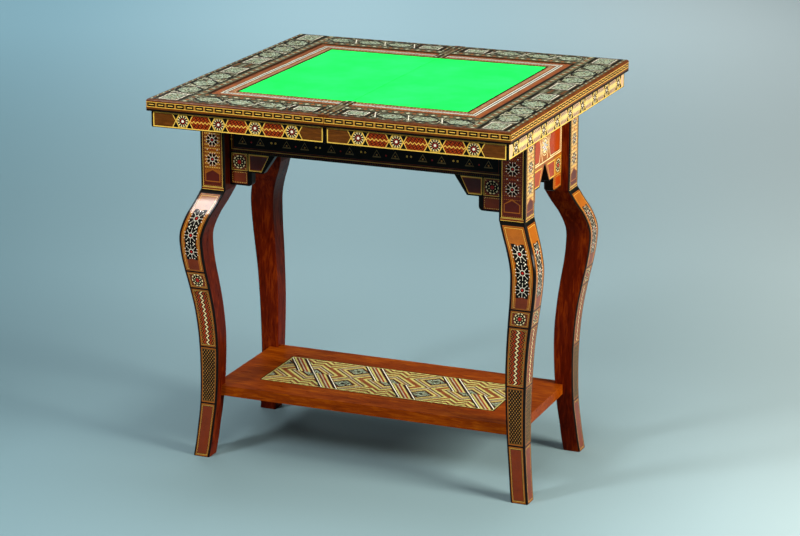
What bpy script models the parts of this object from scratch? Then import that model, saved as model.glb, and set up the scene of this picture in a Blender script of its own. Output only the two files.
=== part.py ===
"""A marquetry games table with a swivelling, fold-over top.

Metres, +Z up. +X runs to the right along the front edge, +Y runs to the back.
The origin is on the floor, under the middle of the whole table as it stands
open. The top is two leaves that meet at a seam along Y. The left leaf folds
over the right one, and the pair then turns a quarter turn on a pivot bolt
until it covers the base.
"""

import bpy
import bmesh
from math import cos, pi, sin
from mathutils import Matrix, Vector

# clearances
GAP = 0.0003             # between two pieces that touch
SWIVEL_GAP = 0.0005      # between the leaves and the base they turn on
SEAM_GAP = 0.0006        # between the two open leaves
FOLD_GAP = 0.0005        # between the two leaves' faces when folded
OVERRUN = 0.003          # how far a cutter runs past what it cuts
EDGE = 0.0008            # width of the softened sawn edges

# the two leaves of the top
TOP_HEIGHT = 0.820       # floor to the mosaic border's face
LEAF_WIDTH = 0.386       # one leaf, from the seam to its outer side
LEAF_DEPTH = 0.736       # front to back
RIM_HEIGHT = 0.0244      # upper layer, with the chain band on its edge
RIM_ROUNDING = 0.004     # radius of the rim's upper outer edge
CASE_HEIGHT = 0.0336     # lower layer, with the star band on its face
CASE_INSET = 0.007       # how far the lower layer stands back from the upper
CASE_WALL = 0.018        # thickness of the lower layer's walls
SIDE_BORDER = 0.093      # mosaic border along a leaf's outer side
END_BORDER = 0.089       # mosaic border along a leaf's front and back
INLAY_BORDER = 0.046     # red border round the baize, on the lift-out board
BOARD_DROP = 0.001       # how far the lift-out board lies below the border
BOARD_THICKNESS = 0.008
BAIZE_THICKNESS = 0.0012
LEDGE = 0.012            # rebate that the lift-out board rests on
FLOOR_THICKNESS = 0.008  # floor of the tray under the lift-out board
SEAM_WALL = 0.012        # wall and hinge blocks along the seam

# the hinges let into the hinge blocks
HINGE_LENGTH = 0.050
HINGE_SETBACK = 0.043    # from the leaf's end to the hinge's near end
PLATE_WIDTH = 0.0085     # from the seam to the plate's far edge
PLATE_THICKNESS = 0.0015
KNUCKLE_RADIUS = 0.0024
KNUCKLE_COUNT = 3
PIN_RADIUS = 0.0012
PIN_CLEARANCE = 0.00015

# the base
BASE_WIDTH = 0.717       # over the posts, left to right
BASE_SHIFT = 0.0141      # how far the base's middle lies left of the seam
POST_WIDTH = 0.056       # square post at the top of each leg
POST_TAIL = 0.009        # post below the brackets, down to where the knee starts
KNEE_THROW = 0.0355      # how far the knee stands out past the post, each way
LEG_CHAMFER = 0.0022
LEG_LEVELS = 60          # sections along the curved part of a leg
FRONT_INSET = 0.023      # front and back aprons, behind the posts' faces
SIDE_INSET = 0.0175      # side aprons, behind the posts' faces
APRON_HEIGHT = 0.0955
APRON_THICKNESS = 0.018
WELL_THICKNESS = 0.008   # bottom board of the storage well
WELL_SETBACK = 0.002     # above the aprons' lower edges
BEARER_WIDTH = 0.070     # board across the well that carries the pivot
BEARER_THICKNESS = 0.018

# the stepped brackets under the aprons
BRACKET_DROP = 0.069     # full height below the apron
BRACKET_STEP_DROP = 0.040
BRACKET_LEDGE = 0.026    # flat underside between the step and the slope
BRACKET_SLOPE_RUN = 0.027
BRACKET_GAP = 0.0066     # between the tips of the two brackets of a side
BRACKET_ROUNDING = 0.008

# the shelf
SHELF_TOP = 0.155
SHELF_THICKNESS = 0.0223
SHELF_SIDE_INSET = 0.014    # the shelf's ends, inside the posts' outer faces
SHELF_FRONT_INSET = 0.0113  # its long edges, inside the posts' outer faces
PANEL_SIDE_MARGIN = 0.077   # from the shelf's ends to the mosaic panel let into it
PANEL_FRONT_MARGIN = 0.067  # from its long edges to the panel
PANEL_THICKNESS = 0.003

# the pivot
BOLT_MARGIN = 0.01875    # from the bolt's axis to the front apron
BOLT_RADIUS = 0.005
BOLT_TAIL = 0.004        # thread left below the nut
BOLT_HEAD_RADIUS = 0.014
BOLT_HEAD_HEIGHT = 0.004
WASHER_RADIUS = 0.0125
WASHER_THICKNESS = 0.0015
NUT_RADIUS = 0.0095
NUT_HEIGHT = 0.008
ROUND_SIDES = 32
NUT_SIDES = 6
CORNER_STEPS = 5         # straight pieces in a rounded corner

# A leg's curve: height as a share of the curved part, how far its outer
# corner stands out as a share of KNEE_THROW, and its width as a share of
# POST_WIDTH.
LEG_CURVE_SHARES = (
    (0.000, 0.61, 0.66),
    (0.047, 0.51, 0.67),
    (0.109, 0.40, 0.67),
    (0.188, 0.28, 0.69),
    (0.281, 0.23, 0.73),
    (0.375, 0.23, 0.77),
    (0.469, 0.29, 0.81),
    (0.563, 0.43, 0.84),
    (0.656, 0.67, 0.89),
    (0.719, 0.85, 0.92),
    (0.781, 0.98, 0.95),
    (0.844, 1.00, 0.97),
    (0.906, 0.71, 0.99),
    (0.953, 0.34, 1.00),
    (1.000, 0.00, 1.00),
)

# places that follow from the sizes
CASE_TOP = TOP_HEIGHT - RIM_HEIGHT
CASE_BOTTOM = CASE_TOP - CASE_HEIGHT
BASE_TOP = CASE_BOTTOM - SWIVEL_GAP
APRON_BOTTOM = BASE_TOP - APRON_HEIGHT
POST_BOTTOM = APRON_BOTTOM - BRACKET_DROP - POST_TAIL
BOARD_TOP = TOP_HEIGHT - BOARD_DROP
LEDGE_TOP = BOARD_TOP - BOARD_THICKNESS - GAP
HALF_DEPTH = LEAF_DEPTH / 2
HALF_SEAM = SEAM_GAP / 2
CASE_INNER_X = LEAF_WIDTH - CASE_INSET - CASE_WALL
CASE_INNER_Y = HALF_DEPTH - CASE_INSET - CASE_WALL
BORDER_INNER_X = LEAF_WIDTH - SIDE_BORDER
BORDER_INNER_Y = HALF_DEPTH - END_BORDER
BAIZE_X = BORDER_INNER_X - INLAY_BORDER
BAIZE_Y = BORDER_INNER_Y - INLAY_BORDER

# The knees reach past the top on the left, so the middle of the whole table
# lies between the left knees and the right leaf's side.
LEFT_REACH = BASE_SHIFT + BASE_WIDTH / 2 + KNEE_THROW
SEAM_X = (LEFT_REACH - LEAF_WIDTH) / 2
BASE_X = SEAM_X - BASE_SHIFT

# A quarter turn about the pivot carries the middle of the right leaf to the
# middle of the base, so the pivot lies as far in front of the base's middle
# as it lies to the right of it.
PIVOT_OFFSET = (BASE_SHIFT + LEAF_WIDTH / 2) / 2
PIVOT_X = BASE_X + PIVOT_OFFSET
PIVOT_Y = -PIVOT_OFFSET
FOLD_Z = TOP_HEIGHT + FOLD_GAP / 2

# The base is as deep as the pivot needs: the bolt stands its margin inside
# the front apron.
APRON_INNER_Y = PIVOT_OFFSET + BOLT_MARGIN
APRON_OUTER_Y = APRON_INNER_Y + APRON_THICKNESS
BASE_DEPTH = 2 * (APRON_OUTER_Y + FRONT_INSET)
APRON_OUTER_X = BASE_WIDTH / 2 - SIDE_INSET
APRON_INNER_X = APRON_OUTER_X - APRON_THICKNESS
POST_INNER_X = BASE_WIDTH / 2 - POST_WIDTH
POST_INNER_Y = BASE_DEPTH / 2 - POST_WIDTH
BEARER_BOTTOM = BASE_TOP - BEARER_THICKNESS

# Along an apron, from the post: where a bracket's slope meets the apron,
# where the slope ends, and where the step is.
BRACKET_REACH = POST_INNER_Y - BRACKET_GAP / 2
BRACKET_FOOT = BRACKET_REACH - BRACKET_SLOPE_RUN
BRACKET_STEP = BRACKET_FOOT - BRACKET_LEDGE

SHELF_WIDTH = BASE_WIDTH - 2 * SHELF_SIDE_INSET
SHELF_DEPTH = BASE_DEPTH - 2 * SHELF_FRONT_INSET
PANEL_WIDTH = SHELF_WIDTH - 2 * PANEL_SIDE_MARGIN
PANEL_DEPTH = SHELF_DEPTH - 2 * PANEL_FRONT_MARGIN

# colours, as (red, green, blue), roughness, metallic
MAHOGANY = ((0.085, 0.022, 0.012), 0.28, 0.0)
MARQUETRY = ((0.330, 0.130, 0.040), 0.32, 0.0)
MOSAIC = ((0.330, 0.340, 0.270), 0.30, 0.0)
RED_INLAY = ((0.420, 0.130, 0.060), 0.32, 0.0)
PLAIN_WOOD = ((0.230, 0.110, 0.050), 0.55, 0.0)
BAIZE = ((0.020, 0.780, 0.140), 0.95, 0.0)
BRASS = ((0.620, 0.430, 0.160), 0.30, 1.0)
STEEL = ((0.420, 0.420, 0.430), 0.35, 1.0)

# Local axes of an outline drawn flat, across the table, or front to back.
# The outline's own X and Y are the first two; its thickness is the third.
FLAT = (Vector((1, 0, 0)), Vector((0, 1, 0)), Vector((0, 0, 1)))
ACROSS = (Vector((1, 0, 0)), Vector((0, 0, 1)), Vector((0, -1, 0)))
DEPTHWISE = (Vector((0, 1, 0)), Vector((0, 0, 1)), Vector((1, 0, 0)))


def clear_scene():
    """Remove every object, so the script starts from nothing."""
    for obj in list(bpy.data.objects):
        bpy.data.objects.remove(obj, do_unlink=True)


def new_collection(name):
    """Make a collection in the scene."""
    collection = bpy.data.collections.new(name)
    bpy.context.scene.collection.children.link(collection)
    return collection


clear_scene()
PARTS = new_collection("games_table")
CUTTERS = new_collection("cutters")


def finish(obj, look):
    """Give an object its own Principled material."""
    colour, roughness, metallic = look
    material = bpy.data.materials.new(obj.name)
    material.use_nodes = True
    shader = material.node_tree.nodes["Principled BSDF"]
    shader.inputs["Base Color"].default_value = (*colour, 1.0)
    shader.inputs["Roughness"].default_value = roughness
    shader.inputs["Metallic"].default_value = metallic
    material.diffuse_color = (*colour, 1.0)
    obj.data.materials.clear()
    obj.data.materials.append(material)


def object_from(bm, name, location=(0, 0, 0), look=None):
    """Turn a bmesh into an object with its faces pointing out."""
    bmesh.ops.recalc_face_normals(bm, faces=bm.faces)
    mesh = bpy.data.meshes.new(name)
    bm.to_mesh(mesh)
    bm.free()
    obj = bpy.data.objects.new(name, mesh)
    obj.location = location
    if look is None:
        CUTTERS.objects.link(obj)
        obj.hide_render = True
        obj.display_type = "WIRE"
    else:
        PARTS.objects.link(obj)
        finish(obj, look)
    return obj


def soften(obj, width=EDGE):
    """Take the sharpness off a wooden piece's edges."""
    bevel = obj.modifiers.new("softened_edges", "BEVEL")
    bevel.width = width
    bevel.segments = 1
    bevel.limit_method = "ANGLE"
    return obj


def box(name, low, high, look=None):
    """A box between two corners, with its origin in its middle."""
    low = Vector(low)
    high = Vector(high)
    bm = bmesh.new()
    bmesh.ops.create_cube(bm, size=1.0)
    bmesh.ops.scale(bm, vec=high - low, verts=bm.verts)
    return object_from(bm, name, (low + high) / 2, look)


def cylinder(name, centre, radius, height, look=None, sides=ROUND_SIDES, along_y=False):
    """A cylinder about a vertical axis, or about one that runs front to back."""
    bm = bmesh.new()
    bmesh.ops.create_cone(
        bm, cap_ends=True, segments=sides,
        radius1=radius, radius2=radius, depth=height,
    )
    if along_y:
        bmesh.ops.rotate(bm, matrix=Matrix.Rotation(pi / 2, 3, "X"), verts=bm.verts)
    obj = object_from(bm, name, centre, look)
    obj.data.shade_smooth()
    obj.data.set_sharp_from_angle(angle=pi / 5)
    return obj


def outline_solid(name, points, thickness, axes, centre, look=None):
    """A flat outline given a thickness, laid on the named axes."""
    curve = bpy.data.curves.new(name, "CURVE")
    curve.dimensions = "2D"
    curve.fill_mode = "BOTH"
    curve.extrude = thickness / 2
    spline = curve.splines.new("POLY")
    spline.points.add(len(points) - 1)
    for point, (x, y) in zip(spline.points, points):
        point.co = (x, y, 0, 1)
    spline.use_cyclic_u = True
    source = bpy.data.objects.new(name + "_outline", curve)
    CUTTERS.objects.link(source)
    depsgraph = bpy.context.evaluated_depsgraph_get()
    mesh = bpy.data.meshes.new_from_object(source.evaluated_get(depsgraph))
    bpy.data.objects.remove(source, do_unlink=True)
    bm = bmesh.new()
    bm.from_mesh(mesh)
    bpy.data.meshes.remove(mesh)
    bmesh.ops.remove_doubles(bm, verts=bm.verts, dist=GAP / 10)
    bmesh.ops.dissolve_limit(bm, angle_limit=pi / 180, verts=bm.verts, edges=bm.edges)
    turn = Matrix((axes[0], axes[1], axes[2])).transposed()
    bmesh.ops.transform(bm, matrix=turn.to_4x4(), verts=bm.verts)
    return object_from(bm, name, centre, look)


def cut(obj, cutter, operation="DIFFERENCE"):
    """Cut one solid with another, or join them, with the exact solver."""
    boolean = obj.modifiers.new(cutter.name, "BOOLEAN")
    boolean.object = cutter
    boolean.operation = operation
    boolean.solver = "EXACT"
    return obj


def hang_on(empty, *objects):
    """Parent objects to the empty that stands on their joint's axis."""
    bpy.context.view_layer.update()
    for obj in objects:
        obj.parent = empty
        obj.matrix_parent_inverse = empty.matrix_world.inverted()


def axis_empty(name, location):
    """An empty on a joint's axis."""
    empty = bpy.data.objects.new(name, None)
    empty.location = location
    PARTS.objects.link(empty)
    return empty


def rounded_corner(centre_x, centre_y, radius, start, end):
    """Points of an arc from one angle to another."""
    points = []
    for step in range(CORNER_STEPS + 1):
        angle = start + (end - start) * step / CORNER_STEPS
        points.append((centre_x + radius * cos(angle), centre_y + radius * sin(angle)))
    return points


# legs
def curve_value(share, column):
    """Read a column of LEG_CURVE_SHARES at a height, with a smooth curve."""
    rows = LEG_CURVE_SHARES
    last = len(rows) - 1
    index = 0
    while index < last - 1 and rows[index + 1][0] < share:
        index += 1
    slopes = []
    for at in (index, index + 1):
        before = rows[max(at - 1, 0)]
        after = rows[min(at + 1, last)]
        slopes.append((after[column] - before[column]) / (after[0] - before[0]))
    span = rows[index + 1][0] - rows[index][0]
    t = (share - rows[index][0]) / span
    low = rows[index][column]
    high = rows[index + 1][column]
    return (
        low * (2 * t**3 - 3 * t**2 + 1)
        + high * (3 * t**2 - 2 * t**3)
        + slopes[0] * span * (t**3 - 2 * t**2 + t)
        + slopes[1] * span * (t**3 - t**2)
    )


def leg_section(share):
    """How far a leg stands out past its post, and its width, at a height."""
    return KNEE_THROW * curve_value(share, 1), POST_WIDTH * curve_value(share, 2)


def leg_loft(name, side, end, look=None, grow=0.0):
    """A cabriole leg: square sections that wander out towards the corner.

    side is +1 on the right and -1 on the left, end is +1 at the back and -1
    at the front. The origin is on the floor under the post's outer corner.
    """
    sections = []
    for level in range(LEG_LEVELS + 1):
        share = level / LEG_LEVELS
        out, width = leg_section(share)
        height = POST_BOTTOM * share
        if grow and level == 0:
            height = height - grow
        sections.append((height, out, width))
    sections.append((BASE_TOP + grow, 0.0, POST_WIDTH))
    bm = bmesh.new()
    rings = []
    for height, out, width in sections:
        outer = out + grow
        inner = out - width - grow
        c = LEG_CHAMFER
        corners = (
            (outer - c, outer), (outer, outer - c),
            (outer, inner + c), (outer - c, inner),
            (inner + c, inner), (inner, inner + c),
            (inner, outer - c), (inner + c, outer),
        )
        rings.append([bm.verts.new((side * x, end * y, height)) for x, y in corners])
    for lower, upper in zip(rings, rings[1:]):
        for first in range(len(lower)):
            second = (first + 1) % len(lower)
            bm.faces.new((lower[first], lower[second], upper[second], upper[first]))
    bm.faces.new(rings[0])
    bm.faces.new(rings[-1])
    corner = (BASE_X + side * BASE_WIDTH / 2, end * BASE_DEPTH / 2, 0)
    return object_from(bm, name, corner, look)


CORNERS = (
    ("front_left", -1, -1),
    ("front_right", 1, -1),
    ("back_left", -1, 1),
    ("back_right", 1, 1),
)


def build_legs():
    """Four legs, and a slightly fatter copy of each that notches the shelf."""
    cutters = []
    for corner, side, end in CORNERS:
        leg = leg_loft("leg_" + corner, side, end, MARQUETRY)
        leg.data.shade_smooth()
        leg.data.set_sharp_from_angle(angle=pi / 6)
        cutters.append(leg_loft("notch_" + corner, side, end, grow=GAP))
    return cutters


# aprons and brackets
def build_aprons():
    """Four boards between the posts, flush with the posts' tops."""
    long_end = POST_INNER_X - GAP
    short_end = POST_INNER_Y - GAP
    for name, end in (("front", -1), ("back", 1)):
        ys = sorted((end * APRON_OUTER_Y, end * APRON_INNER_Y))
        soften(box(
            "apron_" + name,
            (BASE_X - long_end, ys[0], APRON_BOTTOM),
            (BASE_X + long_end, ys[1], BASE_TOP),
            MARQUETRY,
        ))
    for name, side in (("left", -1), ("right", 1)):
        xs = sorted((side * APRON_OUTER_X, side * APRON_INNER_X))
        soften(box(
            "apron_" + name,
            (BASE_X + xs[0], -short_end, APRON_BOTTOM),
            (BASE_X + xs[1], short_end, BASE_TOP),
            MARQUETRY,
        ))


def bracket_outline(direction):
    """A bracket's outline: away from the post along X, down from the apron."""
    corner = rounded_corner(
        BRACKET_STEP - BRACKET_ROUNDING, BRACKET_ROUNDING - BRACKET_DROP,
        BRACKET_ROUNDING, 0, -pi / 2,
    )
    points = [
        (GAP, -GAP),
        (BRACKET_REACH, -GAP),
        (BRACKET_FOOT, -BRACKET_STEP_DROP),
        (BRACKET_STEP, -BRACKET_STEP_DROP),
        *corner,
        (GAP, -BRACKET_DROP),
    ]
    return [(direction * x, y) for x, y in points]


def build_brackets():
    """Two stepped brackets under each apron, one against each post."""
    middle_y = APRON_OUTER_Y - APRON_THICKNESS / 2
    middle_x = APRON_OUTER_X - APRON_THICKNESS / 2
    for corner, side, end in CORNERS:
        soften(outline_solid(
            "bracket_long_" + corner, bracket_outline(-side), APRON_THICKNESS, ACROSS,
            (BASE_X + side * POST_INNER_X, end * middle_y, APRON_BOTTOM), MARQUETRY,
        ))
        soften(outline_solid(
            "bracket_short_" + corner, bracket_outline(-end), APRON_THICKNESS, DEPTHWISE,
            (BASE_X + side * middle_x, end * POST_INNER_Y, APRON_BOTTOM), MARQUETRY,
        ))


# shelf, well and bearer
def build_shelf(leg_cutters):
    """The lower shelf, notched round the legs, with its mosaic panel."""
    bottom = SHELF_TOP - SHELF_THICKNESS
    shelf = box(
        "shelf",
        (BASE_X - SHELF_WIDTH / 2, -SHELF_DEPTH / 2, bottom),
        (BASE_X + SHELF_WIDTH / 2, SHELF_DEPTH / 2, SHELF_TOP),
        MAHOGANY,
    )
    for cutter in leg_cutters:
        cut(shelf, cutter)
    recess = box(
        "shelf_recess",
        (BASE_X - PANEL_WIDTH / 2 - GAP, -PANEL_DEPTH / 2 - GAP, SHELF_TOP - PANEL_THICKNESS - GAP),
        (BASE_X + PANEL_WIDTH / 2 + GAP, PANEL_DEPTH / 2 + GAP, SHELF_TOP + OVERRUN),
    )
    cut(shelf, recess)
    box(
        "shelf_panel",
        (BASE_X - PANEL_WIDTH / 2, -PANEL_DEPTH / 2, SHELF_TOP - PANEL_THICKNESS),
        (BASE_X + PANEL_WIDTH / 2, PANEL_DEPTH / 2, SHELF_TOP),
        MOSAIC,
    )


def build_well():
    """The storage well's bottom board, with its corners cut round the posts."""
    x = APRON_INNER_X - GAP
    y = APRON_INNER_Y - GAP
    notch_x = POST_INNER_X - GAP
    notch_y = POST_INNER_Y - GAP
    points = (
        (-x, -notch_y), (-notch_x, -notch_y), (-notch_x, -y),
        (notch_x, -y), (notch_x, -notch_y), (x, -notch_y),
        (x, notch_y), (notch_x, notch_y), (notch_x, y),
        (-notch_x, y), (-notch_x, notch_y), (-x, notch_y),
    )
    middle = APRON_BOTTOM + WELL_SETBACK + WELL_THICKNESS / 2
    outline_solid("well_bottom", points, WELL_THICKNESS, FLAT, (BASE_X, 0, middle), PLAIN_WOOD)


def build_bearer():
    """The board across the well that the pivot bolt passes through."""
    bearer = box(
        "pivot_bearer",
        (PIVOT_X - BEARER_WIDTH / 2, GAP - APRON_INNER_Y, BEARER_BOTTOM),
        (PIVOT_X + BEARER_WIDTH / 2, APRON_INNER_Y - GAP, BASE_TOP),
        PLAIN_WOOD,
    )
    hole = cylinder(
        "bearer_hole", (PIVOT_X, PIVOT_Y, BASE_TOP - BEARER_THICKNESS / 2),
        BOLT_RADIUS + GAP, BEARER_THICKNESS + 2 * OVERRUN,
    )
    cut(bearer, hole)


# leaves
def spread(side, first, second):
    """Low and high X of a span measured from the seam on one side of it."""
    return sorted((SEAM_X + side * first, SEAM_X + side * second))


def leaf_box(name, side, near, far, low_y, high_y, low_z, high_z, look=None):
    """A box placed by its distances from the seam."""
    xs = spread(side, near, far)
    return box(name, (xs[0], low_y, low_z), (xs[1], high_y, high_z), look)


def rim_profile(border):
    """Section of a rim rail: inward from its outer face, up from its base."""
    top = TOP_HEIGHT - CASE_TOP
    ledge_top = LEDGE_TOP - CASE_TOP
    rounding = rounded_corner(
        RIM_ROUNDING, top - RIM_ROUNDING, RIM_ROUNDING, pi / 2, pi,
    )
    return [
        (0, 0), (border + LEDGE, 0), (border + LEDGE, ledge_top),
        (border, ledge_top), (border, top), *rounding,
    ]


def mitre_cutter(name, side, end, keep_side_rail):
    """A wedge that takes off the corner belonging to the other rail.

    The joint runs from the leaf's outer corner through the border's inner
    corner, and each rail stops half a gap short of it.
    """
    outer = Vector((SEAM_X + side * LEAF_WIDTH, end * HALF_DEPTH))
    inner = Vector((SEAM_X + side * BORDER_INNER_X, end * BORDER_INNER_Y))
    along = (inner - outer).normalized()
    reach = along * (SIDE_BORDER + END_BORDER)
    away = Vector((0, end)) if keep_side_rail else Vector((side, 0))
    back = away * (GAP / 2)
    start = outer - along * OVERRUN * 2 - back
    stop = outer + reach - back
    bulk = away * (SIDE_BORDER + END_BORDER)
    points = (start, stop, stop + bulk, start + bulk)
    middle = (CASE_TOP + TOP_HEIGHT) / 2
    return outline_solid(
        name, [(p.x, p.y) for p in points], RIM_HEIGHT + 2 * OVERRUN, FLAT, (0, 0, middle),
    )


def build_rim(leaf, side):
    """The upper layer: a mitred, rebated frame on three sides of the leaf."""
    pieces = []
    start = SEAM_WALL + GAP
    for name, end in (("front", -1), ("back", 1)):
        profile = [(-end * x, y) for x, y in rim_profile(END_BORDER)]
        middle = SEAM_X + side * (start + LEAF_WIDTH) / 2
        rail = outline_solid(
            f"{leaf}_rim_{name}", profile, LEAF_WIDTH - start, DEPTHWISE,
            (middle, end * HALF_DEPTH, CASE_TOP), MOSAIC,
        )
        cut(rail, mitre_cutter(f"{leaf}_mitre_end_{name}", side, end, False))
        pieces.append(rail)
    profile = [(-side * x, y) for x, y in rim_profile(SIDE_BORDER)]
    rail = outline_solid(
        f"{leaf}_rim_side", profile, LEAF_DEPTH, ACROSS,
        (SEAM_X + side * LEAF_WIDTH, 0, CASE_TOP), MOSAIC,
    )
    for name, end in (("front", -1), ("back", 1)):
        cut(rail, mitre_cutter(f"{leaf}_mitre_side_{name}", side, end, True))
    pieces.append(rail)
    return pieces


def build_case(leaf, side):
    """The lower layer: three star-banded walls, a seam wall and the floor."""
    top = CASE_TOP - GAP
    outer_x = LEAF_WIDTH - CASE_INSET
    outer_y = HALF_DEPTH - CASE_INSET
    pieces = []
    for name, end in (("front", -1), ("back", 1)):
        ys = sorted((end * outer_y, end * CASE_INNER_Y))
        pieces.append(soften(leaf_box(
            f"{leaf}_case_{name}", side, HALF_SEAM, outer_x, ys[0], ys[1],
            CASE_BOTTOM, top, MARQUETRY,
        )))
    inner_y = CASE_INNER_Y - GAP
    pieces.append(soften(leaf_box(
        f"{leaf}_case_side", side, CASE_INNER_X, outer_x, -inner_y, inner_y,
        CASE_BOTTOM, top, MARQUETRY,
    )))
    wall = leaf_box(
        f"{leaf}_seam_wall", side, HALF_SEAM, SEAM_WALL, -inner_y, inner_y,
        CASE_BOTTOM, top, MAHOGANY,
    )
    rise = BAIZE_Y - GAP
    cut(wall, leaf_box(
        f"{leaf}_seam_rise", side, HALF_SEAM, SEAM_WALL, -rise, rise,
        CASE_BOTTOM + FLOOR_THICKNESS, LEDGE_TOP,
    ), "UNION")
    pieces.append(wall)
    floor = leaf_box(
        f"{leaf}_tray_floor", side, SEAM_WALL + GAP, CASE_INNER_X - GAP, -inner_y, inner_y,
        CASE_BOTTOM, CASE_BOTTOM + FLOOR_THICKNESS, PLAIN_WOOD,
    )
    if side > 0:
        cut(floor, cylinder(
            "floor_hole", (PIVOT_X, PIVOT_Y, CASE_BOTTOM + FLOOR_THICKNESS / 2),
            BOLT_RADIUS + GAP, FLOOR_THICKNESS + 2 * OVERRUN,
        ))
    pieces.append(floor)
    return pieces


def hinge_middle():
    """How far a hinge's middle lies from the middle of the seam."""
    return HALF_DEPTH - HINGE_SETBACK - HINGE_LENGTH / 2


def build_hinge_blocks(leaf, side):
    """Solid blocks at the seam's ends, with recesses for the hinges."""
    pieces = []
    for name, end in (("front", -1), ("back", 1)):
        ys = sorted((end * HALF_DEPTH, end * BAIZE_Y))
        block = leaf_box(
            f"{leaf}_hinge_block_{name}", side, HALF_SEAM, SEAM_WALL, ys[0], ys[1],
            CASE_TOP, TOP_HEIGHT, MOSAIC,
        )
        half = HINGE_LENGTH / 2 + GAP
        middle = end * hinge_middle()
        cut(block, leaf_box(
            f"{leaf}_plate_recess_{name}", side, -OVERRUN, PLATE_WIDTH + GAP,
            middle - half, middle + half,
            TOP_HEIGHT - PLATE_THICKNESS - GAP, TOP_HEIGHT + OVERRUN,
        ))
        cut(block, leaf_box(
            f"{leaf}_knuckle_recess_{name}", side, -OVERRUN, KNUCKLE_RADIUS + GAP,
            middle - half, middle + half,
            FOLD_Z - KNUCKLE_RADIUS - GAP, TOP_HEIGHT + OVERRUN,
        ))
        pieces.append(block)
    return pieces


def build_hinge_half(leaf, side, name, end):
    """Half a hinge: its plate, its knuckles and, on the right, the pin."""
    middle = end * hinge_middle()
    half = HINGE_LENGTH / 2
    half_name = f"{leaf}_hinge_{name}"
    plate = leaf_box(
        half_name, side, KNUCKLE_RADIUS + GAP, PLATE_WIDTH,
        middle - half, middle + half,
        TOP_HEIGHT - PLATE_THICKNESS, TOP_HEIGHT, BRASS,
    )
    pitch = HINGE_LENGTH / KNUCKLE_COUNT
    length = pitch - GAP
    for knuckle in range(KNUCKLE_COUNT):
        on_right = knuckle % 2 == 0
        if on_right != (side > 0):
            continue
        y = middle - half + pitch * (knuckle + 1 / 2)
        cut(plate, leaf_box(
            f"{half_name}_tab_{knuckle}", side, 0, KNUCKLE_RADIUS + 2 * GAP,
            y - length / 2, y + length / 2,
            TOP_HEIGHT - PLATE_THICKNESS, TOP_HEIGHT,
        ), "UNION")
        cut(plate, cylinder(
            f"{half_name}_knuckle_{knuckle}", (SEAM_X, y, FOLD_Z),
            KNUCKLE_RADIUS, length, along_y=True,
        ), "UNION")
    if side > 0:
        cut(plate, cylinder(
            f"{half_name}_pin", (SEAM_X, middle, FOLD_Z),
            PIN_RADIUS, HINGE_LENGTH - pitch, along_y=True,
        ), "UNION")
    else:
        cut(plate, cylinder(
            f"{half_name}_bore", (SEAM_X, middle, FOLD_Z),
            PIN_RADIUS + PIN_CLEARANCE, HINGE_LENGTH, along_y=True,
        ))
    return plate


def build_board(leaf, side):
    """The lift-out board: notched at the hinge blocks, with its baize."""
    x0 = SEAM_GAP
    x1 = SEAM_WALL + GAP
    x2 = BORDER_INNER_X - GAP
    y1 = BAIZE_Y - GAP
    y2 = BORDER_INNER_Y - GAP
    points = (
        (x0, -y1), (x1, -y1), (x1, -y2), (x2, -y2),
        (x2, y2), (x1, y2), (x1, y1), (x0, y1),
    )
    board = outline_solid(
        f"{leaf}_board", [(side * x, y) for x, y in points], BOARD_THICKNESS, FLAT,
        (SEAM_X, 0, BOARD_TOP - BOARD_THICKNESS / 2), RED_INLAY,
    )
    baize_y = BAIZE_Y - 2 * GAP
    cut(board, leaf_box(
        f"{leaf}_baize_recess", side, -OVERRUN, BAIZE_X + GAP,
        -baize_y - GAP / 2, baize_y + GAP / 2,
        BOARD_TOP - BAIZE_THICKNESS - GAP, BOARD_TOP + OVERRUN,
    ))
    baize = leaf_box(
        f"{leaf}_baize", side, x0, BAIZE_X, -baize_y, baize_y,
        BOARD_TOP - BAIZE_THICKNESS, BOARD_TOP, BAIZE,
    )
    return [board, baize]


# pivot
def build_pivot():
    """Bolt, washer and nut that hold the right leaf to the bearer."""
    floor_top = CASE_BOTTOM + FLOOR_THICKNESS
    washer_top = BEARER_BOTTOM - GAP
    nut_top = washer_top - WASHER_THICKNESS - GAP
    bolt_end = nut_top - NUT_HEIGHT - BOLT_TAIL
    shank_top = floor_top + GAP + BOLT_HEAD_HEIGHT / 2
    bolt = cylinder(
        "pivot_bolt", (PIVOT_X, PIVOT_Y, floor_top + GAP + BOLT_HEAD_HEIGHT / 2),
        BOLT_HEAD_RADIUS, BOLT_HEAD_HEIGHT, STEEL,
    )
    cut(bolt, cylinder(
        "pivot_shank", (PIVOT_X, PIVOT_Y, (shank_top + bolt_end) / 2),
        BOLT_RADIUS, shank_top - bolt_end,
    ), "UNION")
    hole = cylinder(
        "pivot_hole", (PIVOT_X, PIVOT_Y, nut_top), BOLT_RADIUS + GAP,
        2 * (NUT_HEIGHT + WASHER_THICKNESS + OVERRUN),
    )
    washer = cylinder(
        "pivot_washer", (PIVOT_X, PIVOT_Y, washer_top - WASHER_THICKNESS / 2),
        WASHER_RADIUS, WASHER_THICKNESS, STEEL,
    )
    nut = cylinder(
        "pivot_nut", (PIVOT_X, PIVOT_Y, nut_top - NUT_HEIGHT / 2),
        NUT_RADIUS, NUT_HEIGHT, STEEL, sides=NUT_SIDES,
    )
    cut(washer, hole)
    cut(nut, hole)
    return [bolt, washer, nut]


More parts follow.
